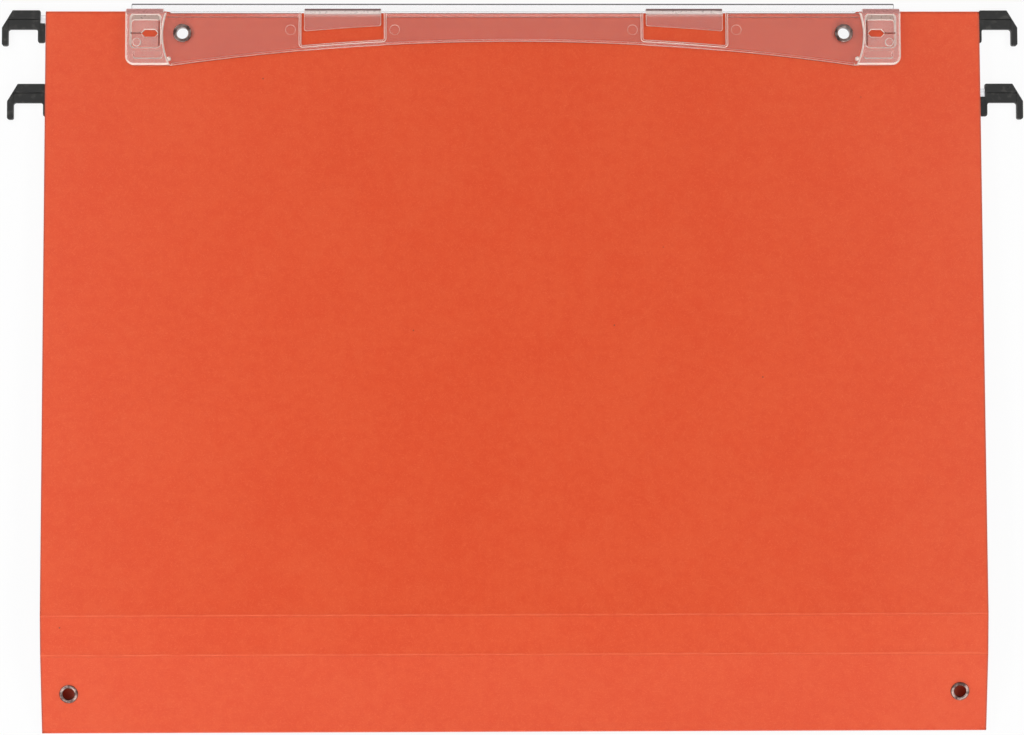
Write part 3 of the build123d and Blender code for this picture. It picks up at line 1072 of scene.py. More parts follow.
    def _hem(self, side: str) -> None:
        """Builds the fold of a panel round its rod.

        Args:
            side: The panel's body, front or back.
        """
        node = f"{side}_hem"
        low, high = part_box(node)
        if side == "front":
            placed = placed_frame(joint_place("title_strip_tilt"), self.flats["front_panel"].run)
            press_share = self.press_share
        else:
            placed = Matrix.Translation((0.0, low.y, (low.z + high.z) / 2))
            press_share = 0.0
        piece = self._fold(node, placed, -pi / 2, pi / 2, press_share)
        mount(piece, side, Slot.CARD, node)


Corner = tuple[float, float, float]
SolidFinish = tuple[bpy.types.Material, ...]
SECTION_ALONG_X = Matrix(((0, 0, 1, 0), (1, 0, 0, 0), (0, 1, 0, 0), (0, 0, 0, 1)))
UNMOVED = Matrix.Identity(4)
MIRROR_X = Matrix.Diagonal((-1, 1, 1, 1))
ROUND_STEPS = 8
RIM_STEPS = 4
RIM_SLANT = (0.15, 0.93)
SIDEWAYS = 0.3


def arc_points(
    centre: tuple[float, float], radius: float, start: float, end: float, steps: int = ROUND_STEPS
) -> list[Corner]:
    """Points along an arc.

    Args:
        centre: Its middle.
        radius: Its radius.
        start: Where it starts, in radians.
        end: Where it ends.
        steps: How many runs it has.

    Returns:
        Sharp corners, both ends included.
    """
    turns = [start + (end - start) * step / steps for step in range(steps + 1)]
    return [(centre[0] + radius * cos(turn), centre[1] + radius * sin(turn), 0.0) for turn in turns]


def circle(centre: tuple[float, float], radius: float, steps: int) -> list[Corner]:
    """Points round a circle."""
    return arc_points(centre, radius, 0.0, 2 * pi, steps)[:-1]


def box_corners(
    low_x: float, low_y: float, high_x: float, high_y: float, radius: float = 0.0
) -> list[Corner]:
    """Corners of a rectangle, anticlockwise, with one radius."""
    places = ((low_x, low_y), (high_x, low_y), (high_x, high_y), (low_x, high_y))
    return [(x, y, radius) for x, y in places]


def rounded(corners: list[Corner]) -> list[Vector]:
    """Rounds the corners of an outline.

    Args:
        corners: X, Y and radius of each corner, anticlockwise.

    Returns:
        The points of the outline.
    """
    points = []
    for index, (x, y, radius) in enumerate(corners):
        corner = Vector((x, y))
        if not radius:
            points.append(corner)
            continue
        back = (Vector(corners[index - 1][:2]) - corner).normalized()
        ahead = (Vector(corners[(index + 1) % len(corners)][:2]) - corner).normalized()
        half = back.angle(ahead) / 2
        centre = corner + (back + ahead).normalized() * (radius / sin(half))
        first = corner + back * (radius / tan(half)) - centre
        turn = first.angle_signed(corner + ahead * (radius / tan(half)) - centre)
        for step in range(ROUND_STEPS + 1):
            points.append(centre + Matrix.Rotation(-turn * step / ROUND_STEPS, 2) @ first)
    return points


def on_rim(face: bpy.types.MeshPolygon) -> bool:
    """Whether a face is slanted, as on a rounded rim."""
    return RIM_SLANT[0] < abs(face.normal.z) < RIM_SLANT[1]


@dataclass(frozen=True)
class Prism:
    """A straight solid over an outline, with rims that are rounded, or flared where the radius is negative.

    A flared rim goes on straight for the overrun.
    """

    corners: list[Corner]
    low: float
    high: float
    low_rim: float = 0.0
    high_rim: float = 0.0
    overrun: float = 0.0

    def rings(self) -> list[tuple[float, float]]:
        """Lays out the solid's rings.

        Returns:
            Inset and height of each ring, from the bottom up.
        """
        turns = [pi / 2 * step / RIM_STEPS for step in range(RIM_STEPS + 1)]
        rings = [(self.low_rim, self.low - self.overrun)] if self.overrun and self.low_rim < 0 else []
        for turn in turns if self.low_rim else [pi / 2]:
            rings.append((self.low_rim * (1 - sin(turn)), self.low + abs(self.low_rim) * (1 - cos(turn))))
        for turn in turns if self.high_rim else [0.0]:
            rings.append((self.high_rim * (1 - cos(turn)), self.high - abs(self.high_rim) * (1 - sin(turn))))
        if self.overrun and self.high_rim < 0:
            rings.append((self.high_rim, self.high + self.overrun))
        return rings

    def mesh(self, placed: Matrix) -> bpy.types.Mesh:
        """Makes the solid.

        Args:
            placed: Where it goes.

        Returns:
            A closed mesh.
        """
        points = rounded(self.corners)
        count = len(points)
        insets = []
        for index, point in enumerate(points):
            before = (point - points[index - 1]).normalized()
            after = (points[(index + 1) % count] - point).normalized()
            first, second = Vector((-before.y, before.x)), Vector((-after.y, after.x))
            insets.append((first + second) / (1 + first.dot(second)))
        shape = bmesh.new()
        rings = [
            [shape.verts.new((*(point + inset * depth), height)) for point, inset in zip(points, insets)]
            for depth, height in self.rings()
        ]
        for lower, upper in zip(rings, rings[1:]):
            for index in range(count):
                after = (index + 1) % count
                shape.faces.new((lower[index], lower[after], upper[after], upper[index]))
        shape.faces.new(rings[0][::-1])
        shape.faces.new(rings[-1])
        shape.transform(placed)
        if placed.determinant() < 0:
            bmesh.ops.reverse_faces(shape, faces=shape.faces)
        mesh = bpy.data.meshes.new("prism")
        shape.to_mesh(mesh)
        shape.free()
        return mesh


class Moulding:
    """A solid that grows by rounded prisms added to it and cut out of it, in millimetres."""

    def __init__(self, mesh: bpy.types.Mesh) -> None:
        """Starts with a mesh."""
        self.mesh = mesh

    @classmethod
    def of(cls, first: Prism, placed: Matrix = UNMOVED) -> "Moulding":
        """A moulding that starts with a prism at a place."""
        return cls(first.mesh(placed))

    def add(self, prism: Prism, placed: Matrix = UNMOVED) -> None:
        """Joins a prism on."""
        self._combine(prism.mesh(placed), "UNION")

    def cut(self, prism: Prism, placed: Matrix = UNMOVED) -> None:
        """Cuts a prism out."""
        self._combine(prism.mesh(placed), "DIFFERENCE")

    def join(self, other: "Moulding") -> None:
        """Joins another moulding on."""
        self._combine(other.mesh, "UNION")

    def mirrored(self) -> "Moulding":
        """Turns a copy left to right.

        Returns:
            The copy.
        """
        mesh = self.mesh.copy()
        mesh.transform(MIRROR_X)
        mesh.flip_normals()
        return Moulding(mesh)

    def _combine(self, tool: bpy.types.Mesh, operation: str) -> None:
        """Joins or cuts with a mesh.

        Args:
            tool: What is joined on or cut out.
            operation: UNION or DIFFERENCE.
        """
        base, other = new_object("base", self.mesh), new_object("tool", tool)
        modifier = base.modifiers.new("combine", "BOOLEAN")
        modifier.operation = operation
        modifier.solver = "MANIFOLD"
        modifier.object = other
        self.mesh = evaluated_mesh(base)
        for each in (base, other):
            bpy.data.objects.remove(each)

    def piece(
        self,
        node: str,
        body: str,
        finish: SolidFinish,
        slot: Slot,
        placed: Matrix,
        pick: Callable[[bpy.types.MeshPolygon], int] | None = None,
    ) -> None:
        """Makes the piece that stands for a solid of the model.

        Args:
            node: The solid.
            body: The body that the piece rides on.
            finish: Its materials.
            slot: The slot that it takes them from.
            placed: Where it goes, and its scale.
            pick: Which of the materials a face has, where it isn't the first.
        """
        mesh = self.mesh.copy()
        mesh.name = f"{node}_moulding"
        mesh.materials.clear()
        for material in finish:
            mesh.materials.append(material)
        for face in mesh.polygons:
            face.material_index = pick(face) if pick else 0
        mesh.transform(placed)
        mount(new_object(mesh.name, mesh), body, slot, node)


@dataclass
class RodSet:
    """A steel rod and the two plastic hooks on its ends. Sizes in millimetres."""

    side: str
    steel: bpy.types.Material
    plastic: SolidFinish
    rod_half: float = 0.4
    rod_top: float = -1.4
    rod_bottom: float = -4.8
    rod_end: float = 168.95
    rod_play: float = 1.8
    rod_fit: float = 0.05
    root: float = 161.0
    length: float = 13.0
    half_thickness: float = 1.2
    top: float = 0.2
    corner_run: float = 3.6
    corner_drop: float = 6.0
    corner_radius: float = 0.4
    edge_radius: float = 0.24
    fine_rim: float = 0.1
    rail_bottom: float = -2.8
    web_recess: float = 0.35
    groove_width: float = 0.35
    groove_depth: float = 0.3
    seat: float = -6.3
    leg_width: float = 2.15
    leg_tip: float = -12.0
    tip_radius: float = 0.7
    throat_radius: float = 0.9
    stem_width: float = 0.75
    inner_reach: float = 1.65
    inner_top: float = -4.2
    inner_tip: float = -11.0
    inner_half: float = 0.7
    inner_radius: float = 0.2
    gate_place: tuple = (8.1, -1.0)
    gate_radius: float = 0.45
    gate_height: float = 0.12
    overrun: float = 1.0

    def frame(self) -> Matrix:
        """Finds the place of the rod, at its end of play.

        Returns:
            A frame in millimetres: X along the rod, Y up the panel, Z out of it.
        """
        if self.side == "front":
            return edge_frame() @ Matrix.Translation((-self.rod_play / 2, 0.0, -self.half_thickness))
        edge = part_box("back_hem")[1].y
        scaled = Matrix.Translation((0.0, edge, 0.0)) @ Matrix.Scale(1 / MILLIMETRES, 4)
        return scaled @ Matrix.Translation((self.rod_play / 2, 0.0, self.half_thickness))

    def build(self) -> None:
        """Builds the rod and its hooks."""
        body = f"{self.side}_rod"
        placed = self.frame()
        bar = box_corners(self.rod_bottom, -self.rod_half, self.rod_top, self.rod_half, self.edge_radius)
        ends = Prism(bar, -self.rod_end, self.rod_end, self.fine_rim, self.fine_rim)
        rod = Moulding.of(ends, SECTION_ALONG_X)
        rod.piece(f"{self.side}_rod", body, (self.steel,), Slot.ROD_STEEL, placed)
        hook = self._hook()
        for end, shape in (("left", hook.mirrored()), ("right", hook)):
            # Rounded rims take the second finish, a painted highlight.
            shape.piece(f"{self.side}_{end}_hook", body, self.plastic, Slot.HOOK_PLASTIC, placed, on_rim)

    def _hook(self) -> Moulding:
        """Shapes the right hook: a railed body with an outer leg, and an inner leg that slides in the hem.

        Returns:
            The hook.
        """
        at_root = Matrix.Translation((self.root, 0.0, 0.0))
        half, rim = self.half_thickness, self.edge_radius
        hook = Moulding.of(Prism(self._body(), -half, half, rim, rim), at_root)
        self._thin(hook, at_root)
        inner = [
            (-self.inner_reach, self.inner_tip, self.tip_radius),
            (self.stem_width, self.inner_tip, self.tip_radius),
            (self.stem_width, self.inner_top, 0.0),
            (-self.inner_reach, self.inner_top, self.inner_radius),
        ]
        hook.add(Prism(inner, -self.inner_half, self.inner_half, rim, rim), at_root)
        floor = half - self.web_recess
        hook.add(Prism(self._stem(), -floor, floor, self.fine_rim, self.fine_rim), at_root)
        low, high = self.rod_bottom - self.rod_fit, self.rod_top + self.rod_fit
        room = self.rod_half + self.rod_fit
        start = self.root - self.inner_reach - self.overrun
        seat = Prism(box_corners(low, -room, high, room, rim), start, self.rod_end + self.rod_fit)
        hook.cut(seat, SECTION_ALONG_X)
        gate = circle(self.gate_place, self.gate_radius, 2 * ROUND_STEPS)
        hook.add(Prism(gate, 0.0, half + self.gate_height, 0.0, self.fine_rim), at_root)
        return hook

    def _body(self) -> list[Corner]:
        """Outline of a hook's body with its outer leg.

        Returns:
            Its corners, from the body's root.
        """
        inside = self.length - self.leg_width
        return [
            (0.0, self.seat, 0.0),
            (inside, self.seat, self.throat_radius),
            (inside, self.leg_tip, self.tip_radius),
            (self.length, self.leg_tip, self.tip_radius),
            (self.length, self.top - self.corner_drop, self.corner_radius),
            (self.length - self.corner_run, self.top, self.corner_radius),
            (0.0, self.top, self.corner_radius),
        ]

    def _thin(self, hook: Moulding, at_root: Matrix) -> None:
        """Thins a hook's web under its rail on both faces, with a groove along the rail.

        Args:
            hook: The hook so far.
            at_root: Where its sizes start.
        """
        half, rim, depth = self.half_thickness, self.fine_rim, self.groove_depth
        inside, floor = self.length - self.leg_width, half - self.web_recess
        web = box_corners(-self.overrun, self.seat - self.overrun, inside, self.rail_bottom)
        hook.cut(Prism(web, floor, half, rim, -rim, self.overrun), at_root)
        hook.cut(Prism(web, -half, -floor, -rim, rim, self.overrun), at_root)
        low = self.rail_bottom - self.groove_width
        groove = box_corners(self.stem_width, low, inside, self.rail_bottom)
        for bottom, crest in ((floor - depth, half), (-half, depth - floor)):
            hook.cut(Prism(groove, bottom, crest), at_root)

    def _stem(self) -> list[Corner]:
        """Outline of a hook's stem, which runs down its inner leg with a round throat.

        Returns:
            Its corners, from the body's root.
        """
        start, throat = self.inner_tip + self.tip_radius, self.throat_radius
        centre = (self.stem_width + throat, self.seat - throat)
        return [
            (0.0, start, 0.0),
            (self.stem_width, start, self.inner_radius),
            (self.stem_width, self.seat - throat, 0.0),
            *arc_points(centre, throat, pi, pi / 2)[1:-1],
            (self.stem_width + throat, self.seat, 0.0),
            (self.stem_width + throat, self.seat + throat, 0.0),
            (0.0, self.seat + throat, 0.0),
        ]


class HolderFace(IntEnum):
    """Looks of the holder's faces, as places in its tuple of materials."""

    CLEAR = 0
    # Painted highlight on the arch's bead.
    BEAD = 1
    CLOUDY = 2
    # Painted highlight: cream lines on rounded rims.
    BRIGHT = 3
    # Painted shade in the jaw's slits.
    SLIT = 4
    # Painted reflection of the orange card on the lip.
    LIP = 5
    # Painted shade on the step above the jaw.
    STEP = 6
    SHADED = 7


@dataclass
class TitleHolder:
    """The clear holder: an arched skirt, framed windows for the tongues, and a snap jaw at each end.

    Sizes in millimetres. Places on an end block are insets from its end and heights.
    """

    finish: SolidFinish
    half_length: float = 132.6
    settle: float = 0.02
    thickness: float = 1.0
    top: float = -0.9
    bottom: float = -19.1
    arch_half: float = 116.0
    arch_top: float = -10.9
    arch_steps: int = 56
    corner_radius: float = 3.0
    seat_rim: float = 0.1
    skirt_rim: float = 0.3
    bead_width: float = 0.9
    bead_height: float = 0.3
    bead_rim: float = 0.4
    bevel_drop: float = 1.5
    bevel_depth: float = 0.16
    chamfer: float = 0.35
    groove_half: float = 0.2
    groove_depth: float = 0.13
    window_place: float = 58.5
    window_half: float = 14.1
    window_rise: float = 1.9
    window_radius: float = 0.5
    mark_places: tuple = (-17.8, 17.8)
    mark_drop: float = -6.8
    mark_radius: float = 1.65
    mark_depth: float = 0.14
    eyelet_place: float = 113.2
    eyelet_drop: float = -8.0
    eyelet_radius: float = 2.35
    block_thickness: float = 2.6
    block_top: float = 14.2
    block_waist: float = 12.9
    block_foot: float = 15.3
    block_rim: float = 0.9
    lip_centre: tuple = (-1.2, -1.2)
    lip_inner: float = 1.4
    lip_outer: float = 2.1
    lip_end: float = radians(-10)
    lip_run: float = 1.6
    lip_rim: float = 0.25
    jaw_thickness: float = 1.2
    jaw_corners: tuple = (1.9, -3.3, 12.0, -13.2)
    jaw_radius: float = 1.4
    jaw_rim: float = 0.45
    step_top: float = -1.6
    step_depth: float = 0.55
    slot_ends: tuple = (5.5, 11.1)
    slot_half: float = 1.2
    slot_tip: float = 1.1
    slot_flare: float = 0.4
    slit_width: float = 0.2
    slit_place: float = 11.5
    slit_half: float = 4.25
    slit_flare: float = 0.22
    foot_corners: tuple = (3.0, -14.3, 12.5, -16.9)
    foot_depth: float = 0.6
    foot_radius: float = 0.6
    boss_place: tuple = (3.9, -11.2)
    boss_radius: float = 1.5
    boss_height: float = 0.8
    boss_rim: float = 0.4
    nub_place: tuple = (14.9, -16.9)
    nub_radius: float = 0.8
    nub_top: float = 2.2
    nub_rim: float = 0.7
    overrun: float = 1.0

    def build(self) -> None:
        """Builds the holder."""
        holder = self._skirt()
        self._bevel(holder)
        for side in (-1, 1):
            self._window(holder, side * self.window_place)
        block = self._block()
        holder.join(block)
        holder.join(block.mirrored())
        for placed in (UNMOVED, MIRROR_X):
            self._jaw(holder, placed)
        holder.piece("title_holder", "front", self.finish, Slot.CLEAR_PLASTIC, edge_frame(), self._pick)

    def arch(self, start: float, end: float, rise: float, steps: int, radius: float = 0.0) -> list[Corner]:
        """Points along the arch.

        Args:
            start: First X.
            end: Last X.
            rise: How far above the lower edge.
            steps: How many runs.
            radius: Radius of the first and the last corner.

        Returns:
            Corners, sharp between the ends.
        """
        sagitta = self.arch_top - self.bottom
        bow = (sagitta**2 + self.arch_half**2) / (2 * sagitta)
        corners = []
        for step in range(steps + 1):
            x = start + (end - start) * step / steps
            y = self.arch_top - bow + ((bow + rise) ** 2 - x**2) ** 0.5
            corners.append((x, y, radius if step in (0, steps) else 0.0))
        return corners

    def _pick(self, face: bpy.types.MeshPolygon) -> HolderFace:
        """Picks the material of a face.

        Args:
            face: A face of the holder.

        Returns:
            Its look.
        """
        x, y, _ = face.center
        if abs(x) > self.half_length - self.block_foot - self.nub_radius:
            return self._pick_on_block(face)
        if not on_rim(face):
            return HolderFace.CLEAR
        if y > self.top - self.bevel_drop - self.groove_half and abs(face.normal.x) < SIDEWAYS:
            return HolderFace.SHADED
        rise = y - self.arch(x, x, 0.0, 1)[0][1]
        # Rims near the arch take the bead's painted highlight; rims higher up take the bright painted
        # highlight.
        return HolderFace.BRIGHT if rise > self.bead_width else HolderFace.BEAD

    def _pick_on_block(self, face: bpy.types.MeshPolygon) -> HolderFace:
        """Picks the material of a face on an end block.

        Args:
            face: A face of the holder.

        Returns:
            Its look.
        """
        inset = self.half_length - abs(face.center.x)
        _, y, z = face.center
        # Painted reflection: the lip and block top take an opaque pink.
        if y > self.step_top and abs(face.normal.x) < SIDEWAYS:
            return HolderFace.LIP
        # Painted highlight on the nub.
        if (Vector((inset, y)) - Vector(self.nub_place)).length < self.nub_radius:
            return HolderFace.BRIGHT
        if on_rim(face):
            # Painted shade on the walls of the jaw's slits.
            if self._on_slit(inset, y) and z < self.jaw_thickness:
                return HolderFace.SLIT
            # Painted highlight on the block's rims, apart from the foot's recess.
            return HolderFace.CLOUDY if self._on_foot(inset, y) else HolderFace.BRIGHT
        # Painted shade on the step above the jaw.
        if self.jaw_thickness < z < self.block_thickness - self.jaw_rim and y > self.jaw_corners[1]:
            return HolderFace.STEP
        return HolderFace.CLOUDY if z > self.thickness else HolderFace.CLEAR

    def _on_slit(self, inset: float, y: float) -> bool:
        """Whether a place is on one of the jaw's slits.

        Args:
            inset: Its distance from the block's end.
            y: Its height.

        Returns:
            Whether it is.
        """
        reach = self.slit_width + self.slit_flare
        across = abs(y - self.eyelet_drop) < reach and inset < self.slot_ends[0]
        return across or abs(inset - self.slit_place) < reach

    def _on_foot(self, inset: float, y: float) -> bool:
        """Whether a place is on the foot's recess, above its lower rim.

        Args:
            inset: Its distance from the block's end.
            y: Its height.

        Returns:
            Whether it is.
        """
        near, _, far, low = self.foot_corners
        rim = self.jaw_rim
        return near - rim < inset < far + rim / 2 and low + rim < y < self.jaw_corners[3] - rim

    def _skirt(self) -> Moulding:
        """Shapes the arched skirt with its bead and eyelet holes.

        Returns:
            The skirt.
        """
        half = self.half_length
        corners = [
            (-half, self.bottom, self.corner_radius),
            *self.arch(-self.arch_half, self.arch_half, 0.0, self.arch_steps),
            (half, self.bottom, self.corner_radius),
            (half, self.top, 0.0),
            (-half, self.top, 0.0),
        ]
        skirt = Moulding.of(Prism(corners, self.settle, self.thickness, self.seat_rim, self.skirt_rim))
        reach = self.arch_half + self.bead_width
        bead = self.arch(-reach, reach, 0.0, self.arch_steps)
        bead += self.arch(reach, -reach, self.bead_width, self.arch_steps)
        crest = self.thickness + self.bead_height
        skirt.add(Prism(bead, self.thickness / 2, crest, 0.0, self.bead_rim))
        for side in (-1, 1):
            hole = circle((side * self.eyelet_place, self.eyelet_drop), self.eyelet_radius, 5 * ROUND_STEPS)
            skirt.cut(Prism(hole, -self.overrun, self.thickness + self.overrun))
        return skirt

    def _bevel(self, skirt: Moulding) -> None:
        """Bevels the skirt's top edge between the blocks, with a fine groove along the bevel.

        Args:
            skirt: The skirt.
        """
        start, edge = self.top - self.bevel_drop, self.thickness - self.bevel_depth
        crest = self.thickness + self.bead_height + self.overrun
        wedge = [
            (start, self.thickness, 0.0),
            (self.top - self.chamfer, edge, 0.0),
            (self.top + self.overrun, edge - self.chamfer - self.overrun, 0.0),
            (self.top + self.overrun, crest, 0.0),
            (start, crest, 0.0),
        ]
        groove = [
            (start - self.groove_half, self.thickness, 0.0),
            (start, self.thickness - self.groove_depth, 0.0),
            (start + self.groove_half, self.thickness, 0.0),
            (start, crest, 0.0),
        ]
        reach = self.half_length - self.block_top
        for cutter in (wedge, groove):
            skirt.cut(Prism(cutter, -reach, reach), SECTION_ALONG_X)

    def _window(self, holder: Moulding, place: float) -> None:
        """Cuts a window with a beaded frame, and the two round marks beside it.

        Args:
            holder: The holder so far.
            place: Middle of the window.
        """
        left, right = place - self.window_half, place + self.window_half
        width, rise, radius = self.bead_width, self.window_rise, self.window_radius
        gap = [
            *self.arch(left, right, rise, ROUND_STEPS, radius),
            (right, self.overrun, 0.0),
            (left, self.overrun, 0.0),
        ]
        holder.cut(Prism(gap, -self.overrun, self.thickness + self.overrun))
        band = [
            *self.arch(left - width, right + width, rise - width, ROUND_STEPS, radius + width),
            (right + width, self.top, 0.0),
            (right, self.top, 0.0),
            *self.arch(right, left, rise, ROUND_STEPS, radius),
            (left, self.top, 0.0),
            (left - width, self.top, 0.0),
        ]
        crest = self.thickness + self.bead_height
        holder.add(Prism(band, 2 * self.settle, crest, 0.0, self.bead_rim))
        floor = self.thickness - self.mark_depth
        for offset in self.mark_places:
            mark = circle((place + offset, self.mark_drop), self.mark_radius, 4 * ROUND_STEPS)
            holder.cut(Prism(mark, floor, self.thickness, 0.0, -self.mark_depth, self.overrun))

    def _block(self) -> Moulding:
        """Shapes the right end block with its lip.

        Returns:
            The block.
        """
        end = self.half_length
        corners = [*self._waist(), (end, self.bottom, self.corner_radius), (end, self.top, 0.0)]
        block = Moulding.of(Prism(corners, 2 * self.settle, self.block_thickness, 0.0, self.block_rim))
        v, w = self.lip_centre
        lip = [
            *arc_points(self.lip_centre, self.lip_outer, self.lip_end, pi / 2),
            (v - self.lip_run, w + self.lip_outer, 0.0),
            (v - self.lip_run, w + self.lip_inner, 0.0),
            *arc_points(self.lip_centre, self.lip_inner, pi / 2, self.lip_end),
        ]
        block.add(Prism(lip, end - self.block_waist, end, self.lip_rim, self.lip_rim), SECTION_ALONG_X)
        return block

    def _waist(self) -> list[Corner]:
        """Lays out the waisted inner side of the right block.

        Returns:
            Its corners, from the top down.
        """
        end, steps = self.half_length, 2 * ROUND_STEPS
        first = Vector((end - self.block_top, self.top))
        last = Vector((end - self.block_foot, self.bottom))
        pinch = Vector((end - self.block_waist, self.eyelet_drop))
        share = (pinch.y - first.y) / (last.y - first.y)
        bulge = (pinch.x - first.x - share * (last.x - first.x)) / (share * (1 - share))
        corners = []
        for step in range(steps + 1):
            along = step / steps
            point = first.lerp(last, along)
            corners.append((point.x + bulge * along * (1 - along), point.y, 0.0))
        return corners

    def _jaw(self, holder: Moulding, placed: Matrix) -> None:
        """Cuts a snap jaw's recess, slot and slits and the foot's recess, and adds the boss and the nub.

        Args:
            holder: The holder so far.
            placed: Where the sizes of the right block's jaw go.
        """
        end, drop, half = self.half_length, self.eyelet_drop, self.slit_width / 2
        near, _, far, low = self.jaw_corners
        place = end - self.slit_place
        across = box_corners(place, drop - half, end - near, drop + half)
        upright = box_corners(place - half, drop - self.slit_half, place + half, drop + self.slit_half)
        step_corners = (near, self.step_top, far, low)
        for cutter in (
            self._recess(self.jaw_corners, self.jaw_radius, self.jaw_thickness),
            self._recess(step_corners, self.jaw_radius, self.block_thickness - self.step_depth),
            self._gap(self._slot(), self.slot_flare),
            self._gap(across, self.slit_flare),
            self._gap(upright, self.slit_flare),
            self._recess(self.foot_corners, self.foot_radius, self.block_thickness - self.foot_depth),
        ):
            holder.cut(cutter, placed)
        boss = circle((end - self.boss_place[0], self.boss_place[1]), self.boss_radius, 4 * ROUND_STEPS)
        crest = self.jaw_thickness + self.boss_height
        holder.add(Prism(boss, self.jaw_thickness / 2, crest, 0.0, self.boss_rim), placed)
        nub = circle((end - self.nub_place[0], self.nub_place[1]), self.nub_radius, ROUND_STEPS)
        holder.add(Prism(nub, self.thickness / 2, self.nub_top, 0.0, self.nub_rim), placed)

    def _recess(self, corners: tuple, radius: float, floor: float) -> Prism:
        """What is cut out for a recess in the right block's face.

        Args:
            corners: Nearest inset, top, farthest inset and bottom.
            radius: Its corner radius.
            floor: Height of its floor.

        Returns:
            The cutter.
        """
        near, high, far, low = corners
        box = box_corners(self.half_length - far, low, self.half_length - near, high, radius)
        return Prism(box, floor, self.block_thickness, self.jaw_rim, -self.jaw_rim, self.overrun)

    def _gap(self, outline: list[Corner], flare: float) -> Prism:
        """What is cut out for a flared gap through the right block's jaw."""
        return Prism(outline, -self.overrun, self.jaw_thickness, 0.0, -flare, self.overrun)

    def _slot(self) -> list[Corner]:
        """Lays out the pointed slot of the right block's jaw.

        Returns:
            Its corners.
        """
        near, far = (self.half_length - inset for inset in self.slot_ends)
        drop, half, tip = self.eyelet_drop, self.slot_half, self.slot_tip
        return [
            (far, drop, 0.0),
            (far + tip, drop - half, 0.0),
            (near - tip, drop - half, 0.0),
            (near, drop, 0.0),
            (near - tip, drop + half, 0.0),
            (far + tip, drop + half, 0.0),
        ]


class StripFace(IntEnum):
    """Looks of the strip's faces, as places in its tuple of materials."""

    CLEAR = 0
    # Painted highlight on a tongue's sides.
    BRIGHT = 1
    # Painted highlight on a tongue's lower rims.
    BEAD = 2
    # Painted shade: a dark line on the strip's top edge.
    CUT = 3
    # Painted shade on the curl's crest.
    CREST = 4
    # Painted highlight on the curl below its crest.
    CURL = 5
    TONGUE = 6


@dataclass
class TitleStrip:
    """The clear strip behind the edge, with two tongues curled over the hem. Sizes in millimetres."""

    finish: SolidFinish
    holder: TitleHolder
    half_length: float = 130.9
    wall: float = 0.7
    top: float = 2.9
    leaf_back: float = -2.55
    leaf_bottom: float = 0.04
    edge_radius: float = 0.3
    front_rim: float = 0.5
    cut_edge: float = 1.2
    tongue_half: float = 13.15
    tongue_rise: float = 6.7
    tongue_radius: float = 0.8
    tongue_gap: float = 0.2
    tongue_rim: float = 0.2
    curl_end: float = radians(-40)
    crest_end: float = 0.0
    overlap: float = 0.3

    def build(self) -> None:
        """Builds the strip."""
        back, front, rim = self.leaf_back, self.leaf_back + self.wall, self.edge_radius
        leaf = [
            (self.leaf_bottom, back, 0.0),
            (self.top, back, self.wall - self.front_rim),
            (self.top, front, self.front_rim),
            (self.leaf_bottom, front, 0.0),
        ]
        strip = Moulding.of(Prism(leaf, -self.half_length, self.half_length, rim, rim), SECTION_ALONG_X)
        for side in (-1, 1):
            self._tongue(strip, side * self.holder.window_place)
        strip.piece("title_strip", "title_strip", self.finish, Slot.CLEAR_PLASTIC, edge_frame(), self._pick)

    def _pick(self, face: bpy.types.MeshPolygon) -> StripFace:
        """Picks the material of a face: of the leaf and its cut edges, or of a tongue, its rims and curl.

        Args:
            face: A face of the strip.

        Returns:
            Its look.
        """
        _, y, z = face.center
        if y > self.cut_edge or z < self.leaf_back + self.wall:
            # The top edge takes a painted dark line.
            cut = y > self.top - self.front_rim or (on_rim(face) and y > self.cut_edge)
            return StripFace.CUT if cut else StripFace.CLEAR
        # Painted highlight on the sides of a tongue.
        if on_rim(face) and abs(face.normal.x) > SIDEWAYS:
            return StripFace.BRIGHT
        if y > self.holder.lip_centre[0]:
            # The curl's crest takes painted shade, the rest of the curl a painted highlight.
            return StripFace.CREST if y > self.crest_end else StripFace.CURL
        # A tongue's lower rims take the bead's painted highlight.
        return StripFace.BEAD if on_rim(face) else StripFace.TONGUE

    def _tongue(self, strip: Moulding, place: float) -> None:
        """Adds a tongue with its curl.

        Args:
            strip: The strip so far.
            place: Middle of the tongue.
        """
        left, right, rim = place - self.tongue_half, place + self.tongue_half, self.tongue_rim
        v, w = self.holder.lip_centre
        inner, outer = self.holder.lip_inner, self.holder.lip_outer
        curl = [
            *arc_points(self.holder.lip_centre, outer, self.curl_end, pi / 2, 2 * ROUND_STEPS),
            (v - self.overlap, w + outer, 0.0),
            (v - self.overlap, w + inner, 0.0),
            *arc_points(self.holder.lip_centre, inner, pi / 2, self.curl_end, 2 * ROUND_STEPS),
        ]
        strip.add(Prism(curl, left, right, rim, rim), SECTION_ALONG_X)
        plate = [
            *self.holder.arch(left, right, self.tongue_rise, ROUND_STEPS, self.tongue_radius),
            (right, v, 0.0),
            (left, v, 0.0),
        ]
        strip.add(Prism(plate, self.tongue_gap, self.tongue_gap + self.wall, rim, rim))


